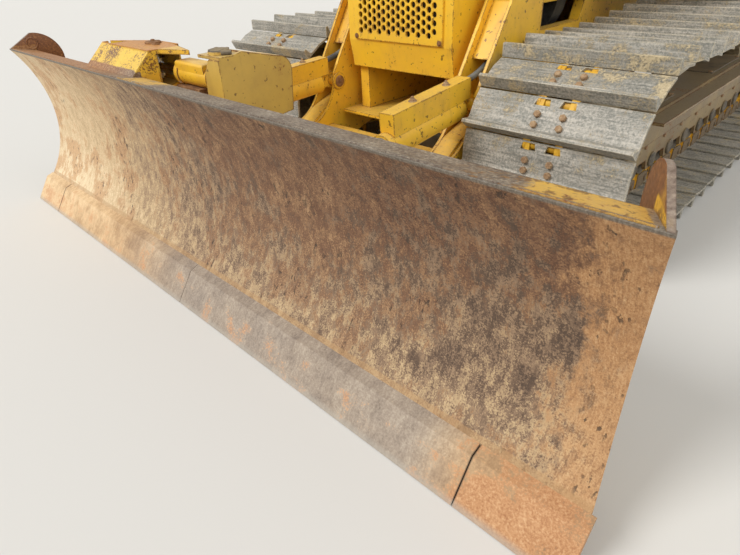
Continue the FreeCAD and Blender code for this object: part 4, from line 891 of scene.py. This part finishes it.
for side, name in sides:
    iron, bolts = Work(), Work()
    middle = side * track_mid_x
    drive = at(middle + side * 0.200, sprocket_y, sprocket_tip)
    hub_steps = [(0, 0.11), (0.012, 0.105), (0.018, 0.09), (0.018, 0.04), (0.028, 0.035)]
    iron.turned(drive, left * side, hub_steps, 32)
    ring_of_bolts(bolts, drive, left * side, 0.130, 8, 0.026)
    ring_of_bolts(bolts, drive - left * side * 0.030, left * side, 0.183, 18, 0.024)
    for way in (1, -1):
        out = left * way
        face = middle + way * frame_x
        axle = at(face, idler_y, idler_tip)
        iron.turned(axle, out, [(0, 0.085), (0.014, 0.085), (0.020, 0.078), (0.020, 0.035)], 28)
        ring_of_bolts(bolts, axle + out * 0.018, out, 0.060, 6, 0.022)
        for y, z in roller_spots:
            iron.turned(at(face, y, z), out, [(0, 0.048), (0.010, 0.048), (0.016, 0.040), (0.016, 0.016)], 20)
            bolts.bolt(at(face, y + 0.150, 0.385), out, 0.022, False)
    for y in (2.52, 2.90, 3.70, 4.36):
        for step in (-0.09, 0.09):
            bolts.bolt(at(middle + step, y, 0.600), up, 0.026)
    for y0, y1 in ((2.50, 2.92), (3.68, 4.38)):
        iron.box((middle - 0.11, y0, 0.598), (middle + 0.11, y1, 0.608))
    iron.done("running_covers_" + name, "machine", roller_iron, "dark_metal", 0.002)
    bolts.done("running_bolts_" + name, "machine", dusty_iron, "dark_metal")

# Blade: edge bolts, ring mark on the right end plate, weld beads, tilt pin's head, bracket's back, ledge
edge_slope = 0.703                 # how far the edge leans back for each metre of height
bolt_z, bolt_rise = 0.110, 0.107   # the edge bolts' height above the ground and above the edge's foot
edge_stack = 0.048                 # thickness that the edge bolts go through
flush_steps = [(0, 0.019), (0.0028, 0.0185), (0.0028, 0.015), (0.0018, 0.0145), (0.0018, 0.006),
               (0.0032, 0.005)]
work, heads = Work(), Work()
behind = Vector((0, 1, -edge_slope)).normalized()
for side in (1, -1):
    for k in range(13):
        x = side * (0.080 + 0.152 * k)
        y = bolt_rise * edge_slope
        work.bolt(at(x, y + edge_stack * math.hypot(1, edge_slope), bolt_z), behind, 0.036)
        heads.turned(at(x, y, bolt_z) + behind * 0.002, -behind, flush_steps, 24)
work.done("edge_nuts", "blade", rusty_iron, "edge_steel")
heads.done("edge_bolt_heads", "blade", edge_steel, "edge_steel")
work = Work()
plate_out = Vector((1, -plate_lean, 0)).normalized()
ring_steps = [(0, 0.037), (0.006, 0.036), (0.007, 0.033), (0.006, 0.029), (0.002, 0.028)]
work.turned(at(-1.957, 0.281, 1.0275) - plate_out * 0.002, plate_out, ring_steps, 32)
work.done("ring_mark", "blade", blade_yellow, "yellow_paint")
beads = Work()
welds = [
    # start, end
    ((-0.98, 0.234, 0.985), (-0.43, 0.234, 0.985)),
    ((-0.432, 0.245, 0.99), (-0.432, 0.35, 1.075)),
    ((-0.978, 0.245, 0.99), (-0.978, 0.35, 1.075)),
    ((0.47, 0.292, 0.966), (1.35, 0.292, 0.966)),
    ((-0.43, 0.386, 0.92), (-0.43, 0.386, 1.07)),
    ((-2.0, 0.170, 1.004), (2.0, 0.170, 1.004)),
]
ripple = 0.009                     # length of one ripple of a weld bead
for first, last in welds:
    start, end = at(*first), at(*last)
    count = max(2, int((end - start).length / ripple))
    points = []
    for k in range(count + 1):
        stray = Vector((chance.uniform(-1, 1), chance.uniform(-1, 1), chance.uniform(-1, 1))) * 0.0008
        points.append(start.lerp(end, k / count) + stray)
    beads.pipe(points, 0.0042, 6)
beads.done("blade_weld_beads", "blade", blade_yellow, "yellow_paint")
work = Work()
head_steps = [(0, 0.042), (0.010, 0.042), (0.014, 0.036), (0.014, 0.012), (0.022, 0.010)]
work.turned(at(-0.640, 0.485, 1.094), up, head_steps, 24)
work.bolt(at(-0.575, 0.470, 1.097), up, 0.024)
work.box((-0.625, 0.455, 1.094), (-0.560, 0.485, 1.103))
work.done("tilt_rod_pin_head", "blade", rusty_iron, "dark_metal", 0.002)

work = Work()
bent_plate = [(-0.500, 0.5395), (-0.725, 0.5395), (-0.980, 0.4015), (-0.980, 0.4115), (-0.725, 0.5510),
              (-0.500, 0.5510)]
work.plan(bent_plate, 0.890, 1.097)
work.done("bracket_back", "blade", blade_yellow, "yellow_paint", 0.002)
# The ledge's rust brown is partly rust and partly painted shade under the tilt barrel.
work = Work()
ledge = [(-0.160, 0.932), (-0.375, 0.932), (-0.375, 0.893), (-0.360, 0.886), (-0.175, 0.886),
         (-0.160, 0.893)]
work.front(ledge, 0.432, 0.538)
for x in (-0.20, -0.33):
    work.bolt(at(x, 0.432, 0.910), -rear, 0.020)
work.done("tilt_guard_ledge", "tilt_barrel", rusty_iron, "dark_metal", 0.004)

# Carrier tower: its bolted cap, side bolts and pin heads
work = Work()
cap = at(-0.010, 0.485, 1.110)
work.turned(cap, up, [(0, 0.046), (0.008, 0.045), (0.011, 0.036), (0.014, 0.014)], 24)
ring_of_bolts(work, cap, up, 0.036, 4, 0.022, 0.5)
work.rod(at(0.030, 0.470, 1.108), at(0.060, 0.505, 1.108), 0.012, 10)
work.done("tower_cap", "carrier", roller_iron, "dark_metal", 0.002)
work = Work()
for x, z in ((0.081, 0.62), (-0.099, 0.62)):
    for y in (0.47, 0.60):
        work.bolt(at(x, y, z), left * (1 if x > 0 else -1), 0.024)
for side in (-1, 1):
    pin_top = at(side * 0.620, 0.525, 0.762)
    work.turned(pin_top, up, [(0, 0.038), (0.010, 0.038), (0.014, 0.032), (0.014, 0.010)], 20)
    work.bolt(pin_top + up * 0.010, up, 0.022, False)
work.done("carrier_pin_heads", "carrier", rusty_iron, "dark_metal", 0.0015)


# Cylinders: guard bolts, glands, pipes and pins of both sides
class Line:
    """Places round a cylinder of the machine: along it from its base, to its side and above it."""

    def __init__(self, start, end):
        self.start = start
        self.way = (end - start).normalized()
        self.aside = up.cross(self.way).normalized()
        self.over = self.way.cross(self.aside)

    def spot(self, along, aside, over):
        return self.start + self.way * along + self.aside * aside + self.over * over


tower_x = 0.556                    # middle of a tower of the push frame, where both cylinders of a side start
guard_top = 0.151                  # above the angle cylinder's middle
lift_top, lift_foot = (2.420, 1.980), (2.120, 0.760)
angle_base = (1.610, 0.726)
trunnion = (3.700, 0.560)
for side, name in sides:
    out = left * side
    line = Line(at(side * tower_x, *angle_base), at(side * 0.620, 0.525, 0.652))
    work = Work()
    for along in (0.200, 0.484):
        work.bolt(line.spot(along, 0, guard_top), line.over, 0.026)
        work.turned(line.spot(along, 0, guard_top + 0.014), line.over, [(0, 0.008), (0.010, 0.007)], 10)
    work.done("guard_bolts_" + name, "angle_barrel_" + name, dusty_iron, "dark_metal")
    seal = Work()
    seal_steps = [(0, 0.034), (0, 0.058), (0.010, 0.056), (0.014, 0.048), (0.014, 0.034)]
    seal.turned(line.spot(0.732, 0, 0), line.way, seal_steps, 28, True)
    seal.done("angle_gland_" + name, "angle_barrel_" + name, roller_iron, "dark_metal")
    line = Line(at(side * tower_x, *lift_top), at(side * tower_x, *lift_foot))
    clamps = Work()
    for along in (0.18, 0.52):
        clamps.band(line.spot(along - 0.015, 0, 0), line.way, 0.0495, 0.055, 0.030)
        clamps.bolt(line.spot(along, 0, -0.054), -line.over, 0.020)
    route = [line.spot(0.10, 0, -0.040), line.spot(0.10, 0, -0.068), line.spot(0.66, 0, -0.068),
             line.spot(0.66, 0, -0.040)]
    clamps.pipe(bend(route, 0.03), 0.010, 10)
    clamps.done("lift_pipes_" + name, "lift_barrel_" + name, frame_yellow, "yellow_paint", 0.001)
    pins = Work()
    for (y, z), radius in ((angle_base, 0.036), (lift_foot, 0.034)):
        middle = at(side * 0.651, y, z)
        steps = [(0, radius), (0.010, radius), (0.015, radius - 0.007), (0.015, 0.014), (0.024, 0.012)]
        pins.turned(middle - out * 0.001, out, steps, 24)
        pins.bolt(middle + up * 0.045, out, 0.018)
        inner = at(side * 0.461, y, z)
        steps = [(0, radius), (0.008, radius), (0.012, radius - 0.007)]
        pins.turned(inner + out * 0.001, -out, steps, 24)
        pins.bolt(inner - out * 0.010, -out, 0.020, False)
    pins.done("frame_pins_" + name, "push_frame", rusty_iron, "dark_metal", 0.0015)
    caps = Work()
    ring_of_bolts(caps, at(side * 0.642, *trunnion), out, 0.062, 6, 0.026)
    caps.turned(at(side * 0.641, *trunnion), out, [(0, 0.035), (0.012, 0.032)], 20)
    ring_of_bolts(caps, at(side * 0.628, *lift_top), out, 0.034, 3, 0.020)
    caps.turned(at(side * 0.627, *lift_top), out, [(0, 0.014), (0.010, 0.012)], 12)
    caps.done("trunnion_bolts_" + name, "machine", rusty_iron, "dark_metal")

# Grille: bolts along its border
work = Work()
work.bolts((-0.322, 0.322), 1.657, (1.006, 1.475, 1.943), -rear, 0.018)
work.done("grille_bolts", "machine", rusty_iron, "dark_metal")

# Hood: cooler cap, lifting eyes, stack clamps, latches of the engine doors
trim = Work()
cap_steps = [(0, 0.075), (0.010, 0.075), (0.012, 0.046), (0.035, 0.046), (0.043, 0.038)]
trim.turned(at(0.0, 2.05, 2.036), up, cap_steps, 28)
for y in (1.86, 2.62, 3.20):
    top = 2.040 + 0.075 * max(0.0, y - 2.5)
    for x in (-0.24, 0.24):
        low, high = top - 0.004, top + 0.050
        arch = [at(x, y - 0.035, low), at(x, y - 0.035, high), at(x, y + 0.035, high), at(x, y + 0.035, low)]
        trim.pipe(bend(arch, 0.03, 6), 0.009, 10)
trim.done("hood_trim", "machine", machine_yellow, "yellow_paint", 0.002)
clamps = Work()
for z, radius in ((2.115, 0.0975), (2.240, 0.0975), (2.345, 0.055), (2.575, 0.055)):
    clamps.band(at(0.190, 2.800, z), up, radius - 0.0035, radius, 0.022)
    clamps.bolt(at(0.190, 2.800 + radius + 0.004, z + 0.011), left, 0.016, False)
for z in (2.150, 2.250):
    clamps.band(at(-0.190, 2.950, z), up, 0.0595, 0.063, 0.022)
clamps.done("stack_clamps", "machine", roller_iron, "dark_metal", 0.001)
for side, name in sides:
    latch = Work()
    for z in (1.17, 1.90):
        steps = [(0, 0.028), (0.005, 0.028), (0.008, 0.022), (0.008, 0.010), (0.020, 0.010)]
        latch.turned(at(side * 0.399, 3.205, z), left * side, steps, 20)
        grip = [(3.200, z - 0.040), (3.210, z - 0.040), (3.212, z + 0.012), (3.198, z + 0.012)]
        latch.side(grip, side * 0.410, side * 0.422)
    latch.done("engine_latches_" + name, "engine_door_" + name, rusty_iron, "dark_metal", 0.001)

# Cab outside: rails, door handles, lamps, wipers, treads on the fenders, tank cap
def bow(foot, grip, start, end):
    """Places of a handle: its feet at x foot and its grip at x grip, between two (y, z)."""
    return [(foot, *start), (grip, *start), (grip, *end), (foot, *end)]


for side, name in sides:
    handle = Work()
    handle.side(oblong(3.476, 1.905, 3.516, 1.975), side * 0.7595, side * 0.766)
    handle.bar(side, [(0.762, 3.496, 1.955), (0.795, 3.496, 1.955), (0.795, 3.600, 1.950)], 0.02, 0.008, 10)
    handle.bar(side, bow(0.715, 0.680, (3.60, 1.935), (4.05, 1.935)), 0.03, 0.011, 10)
    handle.done("door_handle_" + name, "cab_door_" + name, black_plastic, "dark_metal", 0.001)
    rail = Work()
    rail.bar(side, bow(0.755, 0.812, (3.425, 1.480), (3.425, 2.350)), 0.05, 0.013)
    rail.bar(side, bow(0.755, 0.830, (4.290, 1.850), (4.290, 2.450)), 0.05, 0.013)
    arch = ((4.40, 1.755), (4.40, 1.850), (4.80, 1.850), (4.80, 1.755))
    rail.bar(side, [(1.120, y, z) for y, z in arch], 0.05, 0.013)
    rail.done("grab_rails_" + name, "machine", black_plastic, "dark_metal")
    tread = Work()
    for row in range(19):
        for column in range(9):
            x = 0.800 + 0.042 * column
            y = 3.340 + 0.047 * row
            lean = 0.012 if (row + column) % 2 else -0.012
            near, far = side * (x - 0.003), side * (x + 0.003)
            slash = [(near, y - lean), (far, y - lean - 0.002), (far, y + lean), (near, y + lean + 0.002)]
            tread.plan(slash[::side], 1.3295, 1.3325)
    tread.done("fender_treads_" + name, "machine", machine_yellow, "yellow_paint")
    locker = Work()
    locker.turned(at(side * 0.97, 4.36, 1.760), up, [(0, 0.024), (0.006, 0.024), (0.009, 0.018)], 20)
    for y in (4.42, 4.76):
        locker.rod(at(side * 0.845, y - 0.05, 1.764), at(side * 0.845, y + 0.05, 1.764), 0.010, 12)
    locker.box((side * 0.85, 4.40, 1.757), (side * 1.13, 4.80, 1.764))
    locker.done("locker_lid_" + name, "machine", machine_yellow, "yellow_paint", 0.002)

shell, lens, tail = Work(), Work(), Work()
lens_steps = [(0, 0.050), (0.006, 0.049), (0.010, 0.030), (0.011, 0.010)]
lamp_steps = [(0, 0.024), (0.010, 0.030), (0.030, 0.050), (0.070, 0.058), (0.082, 0.058), (0.082, 0.050),
              (0.074, 0.049)]
for y, out in ((3.185, -rear), (4.865, rear)):
    for x in (-0.52, 0.52):
        shell.turned(at(x, y, 3.010), out, lamp_steps, 28)
        lens.turned(at(x, y, 3.010) + out * 0.070, out, lens_steps, 28)
for x in (-0.50, 0.50):
    shell.turned(at(x, 5.396, 1.820), rear, [(0, 0.055), (0.018, 0.055), (0.022, 0.050)], 28)
    tail.turned(at(x, 5.412, 1.820), rear, [(0, 0.046), (0.010, 0.044), (0.016, 0.030), (0.018, 0.010)], 28)
shell.done("lamp_shells", "machine", black_plastic, "cab_plastic", 0.001)
lens.done("lamp_lenses", "machine", head_lens, "window_glass")
tail.done("tail_lamps", "machine", red_lens, "window_glass")

work = Work()
for x, y, low, way in ((0.22, 3.309, 1.915, -1), (0.22, 4.801, 2.080, 1)):
    out = rear * way
    work.turned(at(x, y, low), out, [(0, 0.030), (0.020, 0.028), (0.026, 0.018), (0.034, 0.012)], 20)
    tip = at(x - 0.34, y + way * 0.016, low + 0.44)
    work.pipe(bend([at(x, y, low) + out * 0.026, at(x - 0.05, y + way * 0.034, low + 0.07), tip], 0.03),
              0.005, 8)
    along = Vector((-0.22, 0, 0.55)).normalized()
    work.pipe([tip - along * 0.27, tip, tip + along * 0.27], 0.006, 8)
work.done("wipers", "machine", black_plastic, "cab_plastic")
cap = Work()
cap.turned(at(-0.430, 5.180, 2.083), up, [(0, 0.060), (0.004, 0.064), (0.026, 0.064), (0.034, 0.056)], 24)
cap.side(oblong(5.120, 2.112, 5.240, 2.126), -0.437, -0.423)
cap.done("tank_cap", "machine", rusty_iron, "dark_metal", 0.002)
bolts = Work()
bolts.bolts((-0.395, 0.395), 5.250, (0.58, 0.72, 0.86, 1.00, 1.09), rear, 0.024)
bolts.bolts((-0.15, 0.15), 5.290, (0.49, 0.70), rear, 0.030)
bolts.done("rear_bolts", "machine", rusty_iron, "dark_metal")

# Seat: stuffed cushions swollen by a simulation, with seams laid on them, on a bellows
swell_steps = 20                   # frames that a cushion swells for


def shell_of(piece):
    """The piece's mesh with its modifiers worked out."""
    return bpy.data.meshes.new_from_object(piece.evaluated_get(bpy.context.evaluated_depsgraph_get()))


def stuffed(work, name, low, high, reach):
    """Makes a cushion of a closed shape, swollen by at most reach metres and kept between two corners."""
    bmesh.ops.recalc_face_normals(work.bm, faces=work.bm.faces)
    mesh = bpy.data.meshes.new(name)
    work.bm.to_mesh(mesh)
    work.bm.free()
    piece = add_object(name, mesh)
    remesh = piece.modifiers.new("remesh", "REMESH")
    remesh.mode = "VOXEL"
    remesh.voxel_size = 0.006
    even = piece.modifiers.new("even", "SMOOTH")
    even.iterations = 12
    piece.data = shell_of(piece)
    piece.modifiers.clear()
    start = [v.co.copy() for v in piece.data.vertices]
    cloth = piece.modifiers.new("swell", "CLOTH")
    cloth.settings.use_pressure = True
    cloth.settings.uniform_pressure_force = 4
    cloth.settings.effector_weights.gravity = 0
    for step in range(1, swell_steps + 1):
        bpy.context.scene.frame_set(step)
    swollen = shell_of(piece)
    piece.modifiers.clear()
    bpy.context.scene.frame_set(1)
    for vertex, here, there in zip(piece.data.vertices, start, swollen.vertices):
        move = there.co - here
        vertex.co = here + move * min(1.0, reach / max(move.length, 1e-6))
    for vertex in piece.data.vertices:
        vertex.co = [min(max(c, a), b) for c, a, b in zip(vertex.co, low, high)]
    piece.data.polygons.foreach_set("use_smooth", [True] * len(piece.data.polygons))
    piece.data.materials.append(seat_fabric)
    piece.modifiers.new("fine", "SUBSURF").levels = 1
    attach(piece, "machine")
    return piece


def sewn(work, piece, places, radius, steps=12):
    """Lays a seam on a cushion, along the spots of its surface nearest to the places given."""
    points = [at(*p) for p in places]
    laid = []
    for start, end in zip(points, points[1:]):
        for k in range(steps):
            place, normal = piece.closest_point_on_mesh(start.lerp(end, k / steps))[1:3]
            laid.append(place + normal * radius * 0.3)
    work.pipe(laid, radius, 6)


work = Work()
seat_plan = [(-0.225, 3.85), (-0.19, 3.835), (0.19, 3.835), (0.225, 3.85), (0.236, 3.90), (0.236, 4.27),
             (0.22, 4.295), (-0.22, 4.295), (-0.236, 4.27), (-0.236, 3.90)]
work.plan(seat_plan, 1.734, 1.822)
cushion = stuffed(work, "seat_cushion", at(-0.25, 3.82, 1.7205), at(0.25, 4.309, 1.839), 0.012)
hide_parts("seat")
work = Work()
back_side = [(4.295, 1.86), (4.385, 1.86), (4.478, 2.43), (4.465, 2.468), (4.415, 2.468), (4.388, 2.43)]
work.side(back_side, -0.225, 0.225)
backrest = stuffed(work, "seat_backrest", at(-0.24, 4.28, 1.841), at(0.24, 4.499, 2.479), 0.012)
seams = Work()
for x in (-0.115, 0.115):
    sewn(seams, cushion, [(x, 3.84, 1.85), (x, 4.10, 1.85), (x, 4.29, 1.85)], 0.0022)
    sewn(seams, backrest, [(x, 4.26, 1.87), (x, 4.31, 2.15), (x, 4.37, 2.45)], 0.0022)
for piece, border in ((cushion, [(0.26, 4.29, 1.82), (0.26, 3.86, 1.82), (0.22, 3.81, 1.82)]),
                      (backrest, [(0.26, 4.29, 1.86), (0.26, 4.38, 2.42), (0.20, 4.42, 2.50)])):
    sewn(seams, piece, [(-x, y, z) for x, y, z in border] + border[::-1], 0.0035)
seams.done("seat_seams", "machine", black_plastic, "seat_cover")
stand = Work()
for k in range(9):
    z = 1.336 + 0.042 * k
    for inset, z0, z1 in ((0.0, z, z + 0.024), (0.014, z + 0.020, z + 0.046)):
        stand.box((-0.165 + inset, 3.925 + inset, z0), (0.165 - inset, 4.275 - inset, min(z1, 1.7195)))
stand.done("seat_bellows", "machine", black_plastic, "cab_plastic", 0.004)
arms = Work()
for side in (1, -1):
    arms.side([(3.975, 1.990), (4.370, 1.990), (4.400, 2.036), (3.975, 2.036)], side * 0.230, side * 0.294)
    arms.side([(4.320, 1.95), (4.385, 1.95), (4.40, 2.00), (4.335, 2.00)], side * 0.200, side * 0.250)
arms.done("seat_arms", "machine", black_plastic, "cab_plastic", 0.010)

# Cab inside: dials, levers, pedals and the floor mat
work = Work()
for k in range(6):
    y = 3.60 + 0.045 * k
    work.box((-0.30, y, 1.330), (0.30, y + 0.018, 1.334))
for x in (-0.20, 0.20):
    work.pipe(bend([at(x, 3.49, 1.34), at(x, 3.52, 1.44), at(x, 3.60, 1.47)], 0.03), 0.010, 8)
    work.side([(3.575, 1.455), (3.665, 1.490), (3.660, 1.503), (3.570, 1.468)], x - 0.045, x + 0.045)
for side in (1, -1):
    middle = at(side * 0.425, 3.86, 2.128)
    work.turned(middle, up, [(0, 0.014), (0.010, 0.022), (0.035, 0.028), (0.060, 0.022), (0.068, 0.008)], 20)
    boot = [(0, 0.052), (0.020, 0.050), (0.034, 0.036), (0.050, 0.030), (0.058, 0.024)]
    work.turned(at(side * 0.425, 3.86, 1.896), up, boot, 24)
    for y in (4.02, 4.10, 4.18):
        work.turned(at(side * 0.425, y, 1.958), up, [(0, 0.016), (0.012, 0.014), (0.014, 0.008)], 16)
work.done("cab_controls", "machine", black_plastic, "cab_plastic", 0.001)
face_out = Vector((0, 0.914, 0.406))
ring, dial = Work(), Work()
for x, radius in ((-0.15, 0.045), (-0.03, 0.058), (0.09, 0.045), (0.185, 0.032)):
    spot = at(x, 3.541, 1.893)
    ring.band(spot - face_out * 0.004, face_out, radius - 0.007, radius, 0.014)
    dial.turned(spot + face_out * 0.003, face_out, [(0, radius - 0.007), (0.0015, radius - 0.008)], 28)
ring.done("dial_rings", "machine", black_plastic, "cab_plastic")
dial.done("dial_faces", "machine", head_lens, "cab_plastic")

# Cab windows: pane, then a seal round it
panes = [
    # name, body, face, outline, place of the pane
    ("windscreen", "machine", "y", [(-0.63, 1.94), (0.63, 1.94), (0.67, 2.87), (-0.67, 2.87)], 3.335),
    ("rear_window", "machine", "y", oblong(-0.63, 2.11, 0.63, 2.87), 4.765),
]
for side, name in sides:
    panes += [
        ("quarter_" + name, "machine", "x", oblong(4.31, 2.01, 4.70, 2.87), side * 0.735),
        ("door_glass_" + name, "cab_door_" + name, "x", oblong(3.52, 1.97, 4.16, 2.81), side * 0.737),
        ("door_foot_" + name, "cab_door_" + name, "x", oblong(3.52, 1.42, 4.16, 1.90), side * 0.737),
    ]
for name, body, face, outline, place in panes:
    pane, seal = Work(), Work()
    if face == "y":
        pane.front(outline, place, place + 0.006)
        loop = [at(x, place + 0.003, z) for x, z in outline]
    else:
        pane.side(outline, place - 0.003, place + 0.003)
        loop = [at(place, y, z) for y, z in outline]
    pane.done(name, body, clear_glass, "window_glass")
    middle = sum(loop, Vector()) / len(loop)
    inner = [p + (middle - p).normalized() * 0.014 for p in loop]
    join = (inner[0] + inner[-1]) / 2
    seal.pipe(bend([join] + inner + [join], 0.06), 0.012, 8)
    seal.done(name + "_seal", body, hose_rubber, "hose_rubber")

# Floor, backdrop and light
def pale_floor(place):
    return {"Base Color": colour("D9D7D2"), "Roughness": 0.9}


floor_mesh = bpy.data.meshes.new("floor")
reach = 60
corners = [(x, y, 0) for x, y in oblong(-reach, -reach, reach, reach)]
floor_mesh.from_pydata(corners, [], [(0, 1, 2, 3)])
floor = add_object("floor", floor_mesh)
floor_mesh.materials.append(finish("floor_paint", pale_floor))
floor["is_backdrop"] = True

world = bpy.data.worlds.new("studio")
bpy.context.scene.world = world
world.use_nodes = True
air = Field(world.node_tree, world.node_tree.nodes["Background"].outputs[0])
seen = air.node("LightPath", {}, {}, "Is Camera Ray")
glossy = air.node("LightPath", {}, {}, "Is Glossy Ray")
through = air.node("LightPath", {}, {}, "Is Transmission Ray")
strength = air.maths("MAXIMUM", glossy, through) * 0.42 + seen * 0.27 + 0.58
world.node_tree.nodes["Background"].inputs["Color"].default_value = (1, 0.99, 0.965, 1)
world.node_tree.links.new(strength.socket, world.node_tree.nodes["Background"].inputs["Strength"])

lamps = [
    # name, strength, softness in degrees, direction that it comes from
    ("key", 2.0, 24, (-0.50, -1.0, 0.95)),
    ("fill", 0.9, 60, (1.0, -0.4, 0.8)),
]
for name, power, softness, source in lamps:
    lamp = bpy.data.lights.new(name, "SUN")
    lamp.energy = power
    lamp.angle = math.radians(softness)
    add_object(name, lamp).rotation_euler = Vector(source).to_track_quat("Z", "Y").to_euler()

low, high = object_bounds()
